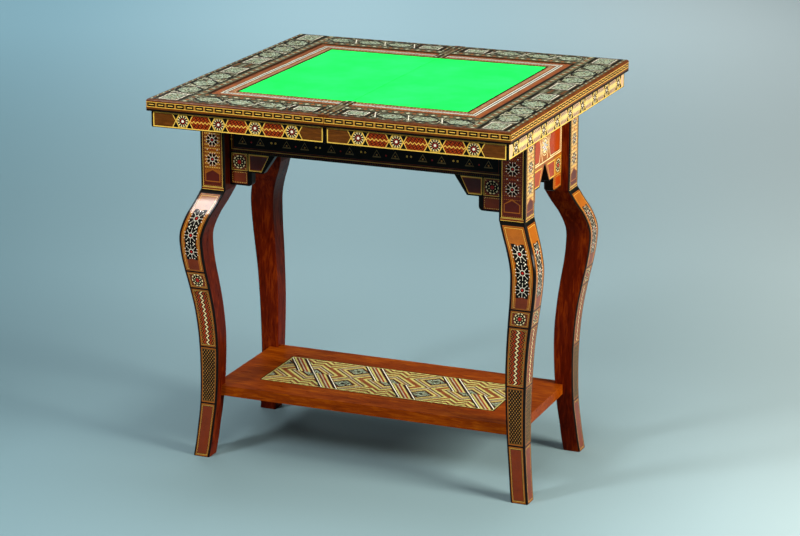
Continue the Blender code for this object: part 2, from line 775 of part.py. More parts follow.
def build_leaf(leaf, side, empty):
    """Everything that stays together on one leaf, hung on its joint."""
    pieces = build_case(leaf, side)
    pieces += build_rim(leaf, side)
    pieces += build_hinge_blocks(leaf, side)
    for name, end in (("front", -1), ("back", 1)):
        pieces.append(build_hinge_half(leaf, side, name, end))
    hang_on(empty, *pieces)
    lift = axis_empty(leaf + "_board_lift", (SEAM_X + side * BAIZE_X / 2, 0, BOARD_TOP))
    hang_on(lift, *build_board(leaf, side))
    hang_on(empty, lift)


leg_cutters = build_legs()
build_aprons()
build_brackets()
build_shelf(leg_cutters)
build_well()
build_bearer()

swivel = axis_empty("top_swivel", (PIVOT_X, PIVOT_Y, BASE_TOP))
hang_on(swivel, *build_pivot())
build_leaf("right", 1, swivel)
fold = axis_empty("leaf_fold", (SEAM_X, 0, FOLD_Z))
build_leaf("left", -1, fold)
hang_on(swivel, fold)
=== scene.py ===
"""The looks of the marquetry games table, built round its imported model.

Metres, in the model's own frame. The inlay on every face is one thin sheet of
veneer: flat shapes are laid over each other in the face's own coordinates,
cut into triangles that keep the look of the topmost shape, and placed on the
face. The sheets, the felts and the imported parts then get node-based materials.
"""

from math import ceil, cos, hypot, pi, radians, sin

import bpy
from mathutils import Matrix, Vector
from mathutils.geometry import delaunay_2d_cdt


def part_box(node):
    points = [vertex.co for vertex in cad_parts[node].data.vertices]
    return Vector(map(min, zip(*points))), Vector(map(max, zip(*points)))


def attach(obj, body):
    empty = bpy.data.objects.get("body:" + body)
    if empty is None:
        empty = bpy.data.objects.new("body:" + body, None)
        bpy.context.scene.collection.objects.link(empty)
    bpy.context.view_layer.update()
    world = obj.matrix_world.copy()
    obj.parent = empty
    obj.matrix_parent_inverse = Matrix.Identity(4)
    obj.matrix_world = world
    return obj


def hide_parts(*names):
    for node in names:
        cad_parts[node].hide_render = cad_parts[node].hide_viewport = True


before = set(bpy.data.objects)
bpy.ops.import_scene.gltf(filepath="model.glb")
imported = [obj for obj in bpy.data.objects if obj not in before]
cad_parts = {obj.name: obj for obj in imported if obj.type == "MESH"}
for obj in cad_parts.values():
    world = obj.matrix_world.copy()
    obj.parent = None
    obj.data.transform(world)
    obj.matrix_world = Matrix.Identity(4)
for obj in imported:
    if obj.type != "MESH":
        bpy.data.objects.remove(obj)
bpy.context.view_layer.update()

X_AXIS = Vector((1, 0, 0))
Y_AXIS = Vector((0, 1, 0))
Z_AXIS = Vector((0, 0, 1))
HALF = 0.5

# veneer sheets
PROUD = 0.00012           # how far a sheet stands out of the wood it lies on
VENEER = 0.0005           # its thickness
SHEET_CLEAR = 0.0005      # from a sheet's edge to the edge of its wood
WELD = 1e-6               # points closer than this are one
CELL_LINE = 0.0018        # width of each line round a field of mosaic
MAP_MARGIN = 0.01         # empty edge of a sheet's own map, as a share of it
MAP_GAP = 0.002           # between the upper and lower side on the map
SHARP_ANGLE = 28          # degrees; a bent sheet is smooth below it

# places that the sheets need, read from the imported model
right_low, right_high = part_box("right_case_front")
SEAM_X = (right_low.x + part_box("left_case_front")[1].x) / 2
CASE_BOTTOM = right_low.z
CASE_TOP = right_high.z
CASE_X = right_high.x - SEAM_X
CASE_Y = -right_low.y
rim_low, rim_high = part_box("right_rim_side")
TOP = rim_high.z
RIM_BOTTOM = rim_low.z
RIM_X = rim_high.x - SEAM_X
RIM_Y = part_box("right_rim_back")[1].y
RIM_ROUNDING = 0.004      # of the upper layer's edges in the model
board_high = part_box("right_board")[1]
BOARD_TOP = board_high.z
BOARD_X = board_high.x - SEAM_X
BOARD_Y = board_high.y
hinge_low, hinge_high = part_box("right_hinge_back")
block_low, block_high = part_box("right_hinge_block_back")
BLOCK_X = block_high.x - SEAM_X
BLOCK_Y = block_low.y
apron_low, apron_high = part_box("apron_front")
BASE_TOP = apron_high.z
APRON_BOTTOM = apron_low.z
BRACKET_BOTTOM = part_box("bracket_long_front_left")[0].z
panel_low, panel_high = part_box("shelf_panel")


# flat shapes: each is a look and its outline, later ones lie on top
def polygon(look, *points):
    """One shape."""
    return [(look, list(points))]


def block(look, x0, y0, x1, y1):
    """A rectangle between two corners."""
    return polygon(look, (x0, y0), (x1, y0), (x1, y1), (x0, y1))


def bar(look, length, width, x=0.0, y=0.0):
    """A rectangle about a point, long along X."""
    return block(look, x - length / 2, y - width / 2, x + length / 2, y + width / 2)


def kite(look, length, width, x=0.0, y=0.0):
    """A lozenge about a point, long along X."""
    return polygon(
        look, (x - length / 2, y), (x, y - width / 2), (x + length / 2, y), (x, y + width / 2),
    )


def disc(look, radius, sides=16, x=0.0, y=0.0, turn=0.0):
    """A many-sided disc."""
    points = []
    for side in range(sides):
        angle = 2 * pi * (side + turn) / sides
        points.append((x + radius * cos(angle), y + radius * sin(angle)))
    return polygon(look, *points)


def stroke(look, start, end, width):
    """A straight line of a width, with square ends."""
    dx = end[0] - start[0]
    dy = end[1] - start[1]
    length = hypot(dx, dy)
    sx = -dy / length * width / 2
    sy = dx / length * width / 2
    return polygon(
        look,
        (start[0] - sx, start[1] - sy), (end[0] - sx, end[1] - sy),
        (end[0] + sx, end[1] + sy), (start[0] + sx, start[1] + sy),
    )


def hoop(look, x0, y0, x1, y1, width):
    """A rectangular line of a width, inside the rectangle's edges."""
    return (
        block(look, x0, y0, x1, y0 + width) + block(look, x0, y1 - width, x1, y1)
        + block(look, x0, y0 + width, x0 + width, y1 - width)
        + block(look, x1 - width, y0 + width, x1, y1 - width)
    )


def framed(x0, y0, x1, y1, *bands):
    """Rectangles one within the other: each look and the width it shows."""
    shapes = []
    for look, width in bands:
        shapes += block(look, x0, y0, x1, y1)
        x0 += width
        y0 += width
        x1 -= width
        y1 -= width
    return shapes


def zigzag(look, x0, x1, y, tooth, swing, width):
    """A zigzag line along X; width is measured along Y."""
    count = max(1, round((x1 - x0) / tooth))
    step = (x1 - x0) / count
    shapes = []
    for index in range(count):
        sign = -1 if index % 2 else 1
        a = x0 + index * step
        b = a + step
        ya = y - sign * swing
        yb = y + sign * swing
        shapes += polygon(
            look, (a, ya - width / 2), (b, yb - width / 2), (b, yb + width / 2), (a, ya + width / 2),
        )
    return shapes


def dots(look, x0, x1, y, pitch, length, width):
    """A row of small blocks along X."""
    count = max(1, round((x1 - x0) / pitch))
    step = (x1 - x0) / count
    shapes = []
    for index in range(count):
        shapes += bar(look, length, width, x0 + (index + HALF) * step, y)
    return shapes


def shrunk(points, inset):
    """An outline drawn in towards its middle by about an inset."""
    xs = [x for x, _ in points]
    ys = [y for _, y in points]
    cx = (min(xs) + max(xs)) / 2
    cy = (min(ys) + max(ys)) / 2
    kx = 1 - 2 * inset / (max(xs) - min(xs))
    ky = 1 - 2 * inset / (max(ys) - min(ys))
    return [(cx + (x - cx) * kx, cy + (y - cy) * ky) for x, y in points]


def nested(points, looks):
    """Outlines one within the other, each a line narrower than the last."""
    shapes = []
    for step, look in enumerate(looks):
        shapes += polygon(look, *shrunk(points, step * CELL_LINE))
    return shapes


# copies of shapes
def changed(shapes, rule):
    """A copy of shapes with every point put through a rule."""
    return [(look, [rule(x, y) for x, y in points]) for look, points in shapes]


def moved(shapes, x=0.0, y=0.0, turn=0.0):
    """A copy of shapes, turned by a number of degrees, and then moved."""
    c = cos(radians(turn))
    s = sin(radians(turn))
    return changed(shapes, lambda px, py: (x + c * px - s * py, y + s * px + c * py))


def flipped(shapes):
    """A mirrored copy of shapes, left for right."""
    return changed(shapes, lambda x, y: (-x, y))


def swapped(shapes):
    """A copy of shapes with X and Y exchanged."""
    return changed(shapes, lambda x, y: (y, x))


def around(shapes, count, radius, first):
    """Copies of shapes round a circle, each with its own X pointing out."""
    copies = []
    for index in range(count):
        angle = 360 * (index + first) / count
        copies += moved(shapes, radius * cos(radians(angle)), radius * sin(radians(angle)), angle)
    return copies


# from shapes to a sheet
def area(points):
    """Twice an outline's area; above zero if it runs anticlockwise."""
    total = 0.0
    for index, (x, y) in enumerate(points):
        nx, ny = points[(index + 1) % len(points)]
        total += x * ny - nx * y
    return total


def tessellate(shapes, lines=()):
    """Cut overlapping shapes into triangles of the topmost shape's look.

    The first shape is the sheet itself: what lies outside it is dropped.
    """
    points = []
    faces = []
    for _, shape in shapes:
        ordered = shape if area(shape) > 0 else shape[::-1]
        faces.append(list(range(len(points), len(points) + len(ordered))))
        points += [Vector(point) for point in ordered]
    edges = []
    for start, end in lines:
        edges.append((len(points), len(points) + 1))
        points += [Vector(start), Vector(end)]
    verts, _, triangles, _, _, sources = delaunay_2d_cdt(points, edges, faces, 1, WELD)
    kept = []
    for triangle, source in zip(triangles, sources):
        if 0 in source:
            kept.append((triangle, shapes[max(source)][0]))
    used = sorted({index for triangle, _ in kept for index in triangle})
    renumber = {old: new for new, old in enumerate(used)}
    flat = [verts[index] for index in used]
    return flat, [([renumber[i] for i in triangle], look) for triangle, look in kept]


def sheet_map(flat):
    """Where a sheet's points lie on its own map, and how far its underside is moved."""
    low = Vector((min(p.x for p in flat), min(p.y for p in flat)))
    span_x = max(p.x for p in flat) - low.x
    span_y = max(p.y for p in flat) - low.y
    shift = Vector((span_x + MAP_GAP, 0)) if span_y > span_x else Vector((0, span_y + MAP_GAP))
    scale = (1 - 2 * MAP_MARGIN) / max(span_x + shift.x, span_y + shift.y)
    margin = Vector((MAP_MARGIN, MAP_MARGIN))

    def mapped(point):
        return (point - low) * scale + margin
    return mapped, shift


def rim_edges(faces, owners):
    """The edges that only one face uses, each with its face's owner."""
    edges = {}
    for face, owner in zip(faces, owners):
        for index, start in enumerate(face):
            edges[(start, face[(index + 1) % len(face)])] = owner
    return [(edge, owner) for edge, owner in edges.items() if edge[::-1] not in edges]


def lay_sheet(name, body, shapes, place, lines=(), smooth=False):
    """Make the veneer sheet for one face and let it ride on the face's body."""
    flat, triangles = tessellate(shapes, lines)
    count = len(flat)
    verts = [place(p.x, p.y, PROUD) for p in flat]
    verts += [place(p.x, p.y, PROUD - VENEER) for p in flat]
    looks = sorted({look for _, look in triangles})
    upper = [triangle for triangle, _ in triangles]
    owners = [looks.index(look) for _, look in triangles]
    rim = rim_edges(upper, owners)

    mapped, shift = sheet_map(flat)
    uvs = []
    for face in upper:
        uvs += [mapped(flat[index]) for index in face]
    for face in upper:
        uvs += [mapped(flat[index] + shift) for index in reversed(face)]
    under = [[index + count for index in reversed(face)] for face in upper]
    walls = []
    for (start, end), _ in rim:
        walls.append([end, start, start + count, end + count])
        along = (flat[end] - flat[start]).normalized()
        away = Vector((along.y, -along.x)) * VENEER
        corners = (flat[end], flat[start], flat[start] + away, flat[end] + away)
        uvs += [mapped(corner) for corner in corners]
    faces = upper + under + walls
    owners = owners + owners + [owner for _, owner in rim]

    a, b, c = (verts[index] for index in upper[0])
    outward = a - verts[upper[0][0] + count]
    if (b - a).cross(c - a).dot(outward) < 0:
        start = 0
        for index, face in enumerate(faces):
            end = start + len(face)
            uvs[start:end] = uvs[start:end][::-1]
            faces[index] = face[::-1]
            start = end

    mesh = bpy.data.meshes.new(name)
    mesh.from_pydata(verts, [], faces)
    uv_layer = mesh.uv_layers.new(name="OFBake")
    uv_layer.data.foreach_set("uv", [value for uv in uvs for value in uv])
    for look in looks:
        mesh.materials.append(MATERIALS[look])
    mesh.polygons.foreach_set("material_index", owners)
    if smooth:
        mesh.shade_smooth()
        mesh.set_sharp_from_angle(angle=radians(SHARP_ANGLE))
    mesh.update()
    piece = show(name, mesh)
    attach(piece, body)


def show(name, data):
    """A new object in the scene."""
    piece = bpy.data.objects.new(name, data)
    bpy.context.scene.collection.objects.link(piece)
    return piece


def on_plane(origin, across, up, out):
    """Places a sheet's points on a flat face."""
    def place(x, y, lift):
        return origin + across * x + up * y + out * lift
    return place


# building blocks of the materials
COLOUR_A = 6              # a colour mix's sockets by number, as other mixes' have the same names
COLOUR_B = 7
COLOUR_OUT = 2


def feed(tree, node, inputs):
    """Give each input its value, or a link from another node's output."""
    for name, value in inputs.items():
        if isinstance(value, bpy.types.NodeSocket):
            tree.links.new(value, node.inputs[name])
        else:
            node.inputs[name].default_value = value


def add(tree, kind, inputs, **settings):
    """A new node with its settings and inputs."""
    node = tree.nodes.new("ShaderNode" + kind)
    for name, value in settings.items():
        setattr(node, name, value)
    feed(tree, node, inputs)
    return node


def begin(name, stretch=(1, 1, 1)):
    """A new material, its nodes, and the piece's own coordinates, stretched."""
    material = bpy.data.materials.new(name)
    material.use_nodes = True
    tree = material.node_tree
    own = add(tree, "TexCoord", {}).outputs["Object"]
    mapping = add(tree, "Mapping", {"Scale": stretch, "Vector": own})
    return material, tree, mapping.outputs["Vector"]


def dress(tree, inputs):
    """Feed the material's shader."""
    feed(tree, tree.nodes["Principled BSDF"], inputs)


def noise(tree, vector, scale, detail, roughness=HALF, distortion=0.0):
    """A cloudy pattern, its scale in waves per metre."""
    inputs = {
        "Scale": scale, "Detail": detail, "Roughness": roughness, "Distortion": distortion, "Vector": vector,
    }
    return add(tree, "TexNoise", inputs).outputs["Fac"]


def mixed(tree, share, a, b):
    """Two values in one."""
    return add(tree, "Mix", {"Factor": share, "A": a, "B": b}).outputs["Result"]


def multiplied(tree, a, b):
    """One colour times the other."""
    inputs = {"Factor": 1.0, COLOUR_A: a, COLOUR_B: b}
    return add(tree, "Mix", inputs, data_type="RGBA", blend_type="MULTIPLY").outputs[COLOUR_OUT]


def ranged(tree, value, low, high):
    """A value from 0 to 1 spread between two others."""
    return add(tree, "MapRange", {"To Min": low, "To Max": high, "Value": value}).outputs["Result"]


def bumped(tree, height, strength, distance):
    """A fine relief."""
    inputs = {"Strength": strength, "Distance": distance, "Height": height}
    return add(tree, "Bump", inputs).outputs["Normal"]


def ramp(tree, value, stops, interpolation="LINEAR"):
    """A value turned into a colour by (place, colour) stops."""
    node = add(tree, "ValToRGB", {"Fac": value})
    node.color_ramp.interpolation = interpolation
    elements = node.color_ramp.elements
    while len(elements) < len(stops):
        elements.new(1.0)
    for element, (position, colour) in zip(elements, stops):
        element.position = position
        element.color = (*colour, 1.0)
    return node.outputs["Color"]


def shade(colour, share):
    """A colour made darker or lighter by a share."""
    return tuple(min(1.0, channel * share) for channel in colour)


# each material's patterns: scale, detail, roughness and distortion
VENEER_GRAIN = (420, 6, 0.62)
VENEER_CLOUD = (46, 3)
TIMBER_SCALE = 26
TIMBER_GRAIN = (TIMBER_SCALE, 8, 0.6, 0.6)
TIMBER_WARP = (TIMBER_SCALE / 6, 2)
FELT_FIBRES = (900, 6, HALF, 1.4)
FELT_NAP = (14, 3)
TARNISH = (120, 6)

# share of the second pattern in a mix, and places of the dark, middle and light colours
VENEER_CLOUD_SHARE = 0.55
TIMBER_WARP_SHARE = 0.35
FELT_NAP_SHARE = 0.4
VENEER_PLACES = (0.34, HALF, 0.66)
TIMBER_PLACES = (0.30, HALF, 0.70)
FELT_PLACES = (0.35, HALF, 0.65)
TARNISH_PLACES = (0.30, 0.60)
TARNISH_SHADE = 0.6
BRUSHING = (1, 1, 6)

# least and greatest roughness, as shares of a material's own
VENEER_ROUGH_SHARES = (0.75, 1.35)
TESSERAE_ROUGH_SHARES = (0.7, 1.4)
TIMBER_ROUGH_SHARES = (0.8, 1.3)
METAL_ROUGH_SHARES = (0.7, 1.5)

# strength and depth of the relief
VENEER_RELIEF = (0.10, 0.0003)
TESSERAE_RELIEF = (0.15, 0.0002)
TIMBER_RELIEF = (0.08, 0.0006)
FELT_RELIEF = (0.35, 0.0004)

VENEER_COAT_ROUGHNESS = 0.07
TESSERAE_COAT_ROUGHNESS = 0.12
TESSERAE_COAT = 0.05
TIMBER_COAT_ROUGHNESS = 0.10
FELT_ROUGHNESS = 0.95
FELT_GLOSS = 0.03
JOINT_WIDTH = 0.10        # of a mosaic piece, as a share of it
JOINT_SHADE = 0.35
RANDOMNESS = 0.85


def rough_range(tree, value, roughness, shares):
    """A roughness that varies with a pattern."""
    return ranged(tree, value, roughness * shares[0], roughness * shares[1])


def veneer(name, colour, dark=0.72, light=1.16, roughness=0.30, stretch=(1, 1, 1), coat=0.45, gloss=0.08):
    """A small piece of polished veneer: fine grain, pores and a shellac coat."""
    material, tree, vector = begin(name, stretch)
    grain = noise(tree, vector, *VENEER_GRAIN)
    both = mixed(tree, VENEER_CLOUD_SHARE, grain, noise(tree, vector, *VENEER_CLOUD))
    colours = (shade(colour, dark), colour, shade(colour, light))
    dress(tree, {
        "Base Color": ramp(tree, both, tuple(zip(VENEER_PLACES, colours))),
        "Roughness": rough_range(tree, grain, roughness, VENEER_ROUGH_SHARES),
        "Normal": bumped(tree, grain, *VENEER_RELIEF),
        "Coat Weight": coat, "Coat Roughness": VENEER_COAT_ROUGHNESS, "Specular IOR Level": gloss,
    })
    return material


def tesserae(name, stops, scale, gloss, roughness=0.30):
    """Many tiny set pieces, each of one colour of the ramp, with dark joints."""
    material, tree, vector = begin(name)
    pattern = {"Scale": scale, "Randomness": RANDOMNESS, "Vector": vector}
    cells = add(tree, "TexVoronoi", pattern)
    split = add(tree, "SeparateColor", {"Color": cells.outputs["Color"]})
    joints = add(tree, "TexVoronoi", pattern, feature="DISTANCE_TO_EDGE")
    edge = add(tree, "MapRange", {
        "From Max": JOINT_WIDTH, "To Min": JOINT_SHADE, "Value": joints.outputs["Distance"],
    }).outputs["Result"]
    dress(tree, {
        "Base Color": multiplied(tree, ramp(tree, split.outputs["Red"], stops, "CONSTANT"), edge),
        "Roughness": rough_range(tree, split.outputs["Green"], roughness, TESSERAE_ROUGH_SHARES),
        "Normal": bumped(tree, edge, *TESSERAE_RELIEF),
        "Coat Weight": TESSERAE_COAT, "Coat Roughness": TESSERAE_COAT_ROUGHNESS, "Specular IOR Level": gloss,
    })
    return material


def timber(name, colours, stretch, gloss, coat, roughness=0.28):
    """Polished timber with long grain along the axis that is stretched least."""
    material, tree, vector = begin(name, stretch)
    grain = noise(tree, vector, *TIMBER_GRAIN)
    both = mixed(tree, TIMBER_WARP_SHARE, grain, noise(tree, vector, *TIMBER_WARP))
    dress(tree, {
        "Base Color": ramp(tree, both, tuple(zip(TIMBER_PLACES, colours))),
        "Roughness": rough_range(tree, grain, roughness, TIMBER_ROUGH_SHARES),
        "Normal": bumped(tree, grain, *TIMBER_RELIEF),
        "Coat Weight": coat, "Coat Roughness": TIMBER_COAT_ROUGHNESS, "Specular IOR Level": gloss,
    })
    return material


def felt_cloth(name, colours):
    """Dyed wool felt: tangled fibres, a soft nap and no shine."""
    material, tree, vector = begin(name)
    fibres = noise(tree, vector, *FELT_FIBRES)
    both = mixed(tree, FELT_NAP_SHARE, fibres, noise(tree, vector, *FELT_NAP))
    dress(tree, {
        "Base Color": ramp(tree, both, tuple(zip(FELT_PLACES, colours))),
        "Normal": bumped(tree, fibres, *FELT_RELIEF),
        "Roughness": FELT_ROUGHNESS, "Specular IOR Level": FELT_GLOSS,
    })
    return material


def metal(name, colour, roughness):
    """Turned or plated metal with faint brushing and tarnish."""
    material, tree, vector = begin(name, BRUSHING)
    tarnish = noise(tree, vector, *TARNISH)
    colours = (shade(colour, TARNISH_SHADE), colour)
    dress(tree, {
        "Base Color": ramp(tree, tarnish, tuple(zip(TARNISH_PLACES, colours))),
        "Roughness": rough_range(tree, tarnish, roughness, METAL_ROUGH_SHARES),
        "Metallic": 1.0,
    })
    return material


# looks of the inlay
MOSAIC_STOPS = (
    (0.00, (0.34, 0.42, 0.30)), (0.30, (0.17, 0.22, 0.14)), (0.52, (0.48, 0.56, 0.42)),
    (0.66, (0.03, 0.045, 0.03)), (0.80, (0.30, 0.31, 0.16)), (0.93, (0.15, 0.06, 0.03)),
)
DARK_MOSAIC_STOPS = (
    (0.00, (0.04, 0.04, 0.02)), (0.36, (0.16, 0.16, 0.08)), (0.52, (0.01, 0.01, 0.008)),
    (0.72, (0.46, 0.46, 0.26)), (0.90, (0.14, 0.05, 0.02)),
)
PEARL_STOPS = (
    (0.00, (0.70, 0.78, 0.76)), (0.30, (0.84, 0.84, 0.76)), (0.55, (0.60, 0.72, 0.66)),
    (0.80, (0.82, 0.72, 0.68)),
)
MATERIALS = {
    "black": veneer("black_veneer", (0.005, 0.004, 0.003), gloss=0.05, coat=0.08),
    "yellow": veneer("yellow_veneer", (0.95, 0.63, 0.10), dark=0.82, light=1.05),
    "gold": veneer("gold_veneer", (0.42, 0.205, 0.030), dark=0.7, light=1.3),
    "cream": veneer("cream_veneer", (1.0, 0.83, 0.42), dark=0.85, light=1.0),
    "bone": veneer("bone", (1.0, 0.96, 0.78), dark=0.88, light=1.0, roughness=0.24),
    "slate": veneer("slate_veneer", (0.16, 0.19, 0.18), dark=0.6, light=1.5),
    "moss": veneer("moss_veneer", (0.095, 0.095, 0.045), dark=0.5, light=1.6),
    "reed": veneer("reed_veneer", (0.48, 0.48, 0.31), dark=0.7),
    "bronze": veneer("bronze_veneer", (0.17, 0.115, 0.030), dark=0.6, light=1.4),
    "olive": veneer("olive_veneer", (0.075, 0.052, 0.018), dark=0.5, light=1.6),
    "straw": veneer("straw_veneer", (0.62, 0.60, 0.18), dark=0.75),
    "clay": veneer("clay_veneer", (0.30, 0.095, 0.022), dark=0.6, light=1.4),
    "orange": veneer("orange_veneer", (0.37, 0.105, 0.006)),
    "peach": veneer("peach_veneer", (0.68, 0.44, 0.27)),
    # a paler orange, painted as the key light's highlight on the legs' side faces
    "amber": veneer("amber_veneer", (0.62, 0.35, 0.10), dark=0.7),
    "scarlet": veneer("scarlet_veneer", (0.36, 0.042, 0.003)),
    "red": veneer("red_veneer", (0.50, 0.010, 0.006)),
    "wine": veneer("wine_veneer", (0.090, 0.008, 0.002)),
    "rust": veneer("rust_veneer", (0.175, 0.024, 0.002)),
    "brown": veneer("brown_veneer", (0.120, 0.036, 0.003), dark=0.6, light=1.6, stretch=(1, 1, 6)),
    "pearl": tesserae("pearl", PEARL_STOPS, scale=160, gloss=0.3, roughness=0.2),
    "mosaic": tesserae("light_mosaic", MOSAIC_STOPS, scale=360, gloss=0.12),
    "dark_mosaic": tesserae("dark_mosaic", DARK_MOSAIC_STOPS, scale=260, gloss=0.10),
}

# camera, as found from the photograph: metres, degrees and millimetres of lens
CAMERA_PLACE = (1.95875, -4.70050, 1.89748)
CAMERA_PITCH = 73.7294
CAMERA_YAW = 22.4149
CAMERA_LENS = 113.126
SENSOR_WIDTH = 36.0


def make_camera():
    """The photograph's own viewpoint."""
    data = bpy.data.cameras.new("camera")
    data.lens = CAMERA_LENS
    data.sensor_width = SENSOR_WIDTH
    data.sensor_fit = "HORIZONTAL"
    camera = show("camera", data)
    camera.location = CAMERA_PLACE
    camera.rotation_euler = (radians(CAMERA_PITCH), 0, radians(CAMERA_YAW))
    bpy.context.scene.camera = camera


# lamps: name, place, point looked at, width and height, watts, colour, spread in degrees
LAMPS = (
    ("key", (3.0, -0.5, 1.7), (0, 0, 0.55), (1.1, 1.1), 158, (1.0, 0.94, 0.82), 180),
    ("front", (0.6, -3.6, 2.9), (0, 0, 0.5), (1.4, 1.0), 54, (1.0, 0.96, 0.88), 180),
    ("left", (-1.30, -2.05, 2.16), (-0.3, -0.2, 0.55), (0.42, 0.85), 42, (1.0, 0.98, 0.96), 180),
    ("rear", (-2.4, 2.2, 2.3), (0, 0, 0.5), (1.2, 1.2), 13, (1.0, 0.97, 0.92), 180),
    ("backdrop", (-2.9, 4.9, 4.2), (-3.1, 4.6, 0), (3.5, 3.0), 86, (0.98, 0.99, 1.0), 110),
    ("above", (0.0, 0.35, 3.4), (0, 0.3, 0.0), (1.5, 1.5), 60, (0.98, 0.99, 1.0), 180),
)


def make_lamps():
    """Soft rectangular lamps."""
    for name, place, target, (width, height), power, colour, spread in LAMPS:
        data = bpy.data.lights.new(name, "AREA")
        data.shape = "RECTANGLE"
        data.size = width
        data.size_y = height
        data.energy = power
        data.color = colour
        data.spread = radians(spread)
        lamp = show(name, data)
        lamp.location = place
        lamp.rotation_euler = (Vector(target) - Vector(place)).to_track_quat("-Z", "Y").to_euler()


# surround, from its darkest place in front to its palest behind
WORLD_FROM = 0.2
WORLD_TO = 0.9
WORLD_STOPS = ((0.0, (0.035, 0.038, 0.038)), (1.0, (0.075, 0.080, 0.078)))


def make_world():
    """A dim grey surround, a little paler behind the table."""
    world = bpy.data.worlds.new("surround")
    bpy.context.scene.world = world
    world.use_nodes = True
    tree = world.node_tree
    around_scene = add(tree, "TexCoord", {}).outputs["Generated"]
    split = add(tree, "SeparateXYZ", {"Vector": around_scene})
    behind = split.outputs["Y"]
    along = add(tree, "MapRange", {"From Min": WORLD_FROM, "From Max": WORLD_TO, "Value": behind})
    colour = ramp(tree, along.outputs["Result"], WORLD_STOPS)
    feed(tree, tree.nodes["Background"], {"Color": colour, "Strength": 1.0})


# floor: painted light, a colour across from left to right times a tone from near to far, for the rays that
# see it; other rays get a plain bounce colour
FLOOR_REACH = 30.0
FLOOR_ACROSS = (-1.6, 1.7)
FLOOR_LIGHT_ACROSS = ((0.0, (0.26, 0.47, 0.56)), (0.5, (0.455, 0.685, 0.765)), (1.0, (0.80, 0.97, 1.0)))
FLOOR_BACK = (-0.5, 5.0)
FLOOR_LIGHT_DEPTH = ((0.0, (0.53,) * 3), (0.16, (0.44,) * 3), (0.36, (0.58,) * 3), (1.0, (0.82,) * 3))
FLOOR_BOUNCE = (0.15, 0.18, 0.19, 1)
FLOOR_ROUGHNESS = 0.9
FLOOR_GLOSS = 0.1
FLOOR_TURN = CAMERA_YAW   # the painted light on the paper runs across and along the camera's view


def make_floor():
    """A plain floor that runs far back, with painted light that makes it paler on the right."""
    mesh = bpy.data.meshes.new("floor")
    far = FLOOR_REACH
    mesh.from_pydata([(-far, -far, 0), (far, -far, 0), (far, far, 0), (-far, far, 0)], [], [(0, 1, 2, 3)])
    material = bpy.data.materials.new("floor_paper")
    material.use_nodes = True
    tree = material.node_tree
    own = add(tree, "TexCoord", {}).outputs["Object"]
    turned = add(
        tree, "Mapping", {"Rotation": (0, 0, radians(FLOOR_TURN)), "Vector": own}, vector_type="TEXTURE",
    )
    split = add(tree, "SeparateXYZ", {"Vector": turned.outputs["Vector"]})
    painted_light = []
    for axis, (near, far), stops in (("X", FLOOR_ACROSS, FLOOR_LIGHT_ACROSS), ("Y", FLOOR_BACK, FLOOR_LIGHT_DEPTH)):
        along = add(tree, "MapRange", {"From Min": near, "From Max": far, "Value": split.outputs[axis]})
        painted_light.append(ramp(tree, along.outputs["Result"], stops, "EASE"))
    rays = add(tree, "LightPath", {})
    seen = rays.outputs["Is Camera Ray"]
    for kind in ("Is Glossy Ray", "Is Transmission Ray"):
        seen = add(tree, "Math", {0: seen, 1: rays.outputs[kind]}, operation="MAXIMUM").outputs["Value"]
    # camera, glossy and transmission rays see the painted light; all other rays see the plain bounce colour
    inputs = {"Factor": seen, COLOUR_A: FLOOR_BOUNCE, COLOUR_B: multiplied(tree, *painted_light)}
    shown = add(tree, "Mix", inputs, data_type="RGBA")
    dress(tree, {
        "Base Color": shown.outputs[COLOUR_OUT], "Roughness": FLOOR_ROUGHNESS,
        "Specular IOR Level": FLOOR_GLOSS,
    })
    mesh.materials.append(material)
    show("floor", mesh)


make_camera()
make_world()
make_floor()
make_lamps()

bpy.context.scene.view_settings.view_transform = "Standard"


# inlaid motifs, one row for each ring of pieces: kind, look, count, place from the middle, length,
# width and turn; sizes are shares of the motif's size, a turn is a share of the step round the
# ring, and a disc's count and place are its number of sides and its radius
ROSETTE_SHARES = (
    ("disc", "yellow", 16, 1.06, 0, 0, 0.5),
    ("disc", "black", 16, 0.98, 0, 0, 0.5),
    ("disc", "cream", 16, 0.92, 0, 0, 0.5),
    ("bars", "black", 12, 0.72, 0.40, 0.24, 0),
    ("disc", "black", 16, 0.54, 0, 0, 0.5),
    ("bars", "red", 8, 0.40, 0.17, 0.15, 0),
    ("disc", "bone", 8, 0.24, 0, 0, 0.5),
)
STAR_SHARES = (
    ("kites", "black", 8, 0.62, 0.72, 0.46, 0.5),
    ("kites", "bone", 8, 0.97, 0.18, 0.16, 0.5),
    ("bars", "bone", 8, 0.60, 0.48, 0.048, 0),
    ("kites", "bone", 8, 0.88, 0.16, 0.12, 0),
    ("disc", "bone", 8, 0.38, 0, 0, 0.5),
    ("disc", "black", 8, 0.31, 0, 0, 0.5),
    ("disc", "red", 4, 0.18, 0, 0, 0.5),
)
WHEEL_SHARES = (
    ("disc", "black", 16, 1.00, 0, 0, 0.5),
    ("bars", "cream", 10, 0.84, 0.17, 0.32, 0),
    ("bars", "cream", 8, 0.48, 0.15, 0.14, 0.5),
    ("disc", "red", 8, 0.28, 0, 0, 0.5),
    ("kites", "rust", 4, 0.10, 0.10, 0.10, 0),
)
MEDALLION_SHARES = (
    ("disc", "cream", 16, 1.08, 0, 0, 0.5),
    ("disc", "rust", 16, 1.00, 0, 0, 0.5),
    ("kites", "yellow", 8, 0.72, 0.50, 0.34, 0.5),
    ("kites", "pearl", 8, 0.62, 0.66, 0.30, 0),
    ("disc", "pearl", 8, 0.40, 0, 0, 0.5),
    ("disc", "rust", 8, 0.20, 0, 0, 0.5),
    ("disc", "bone", 8, 0.12, 0, 0, 0.5),
)


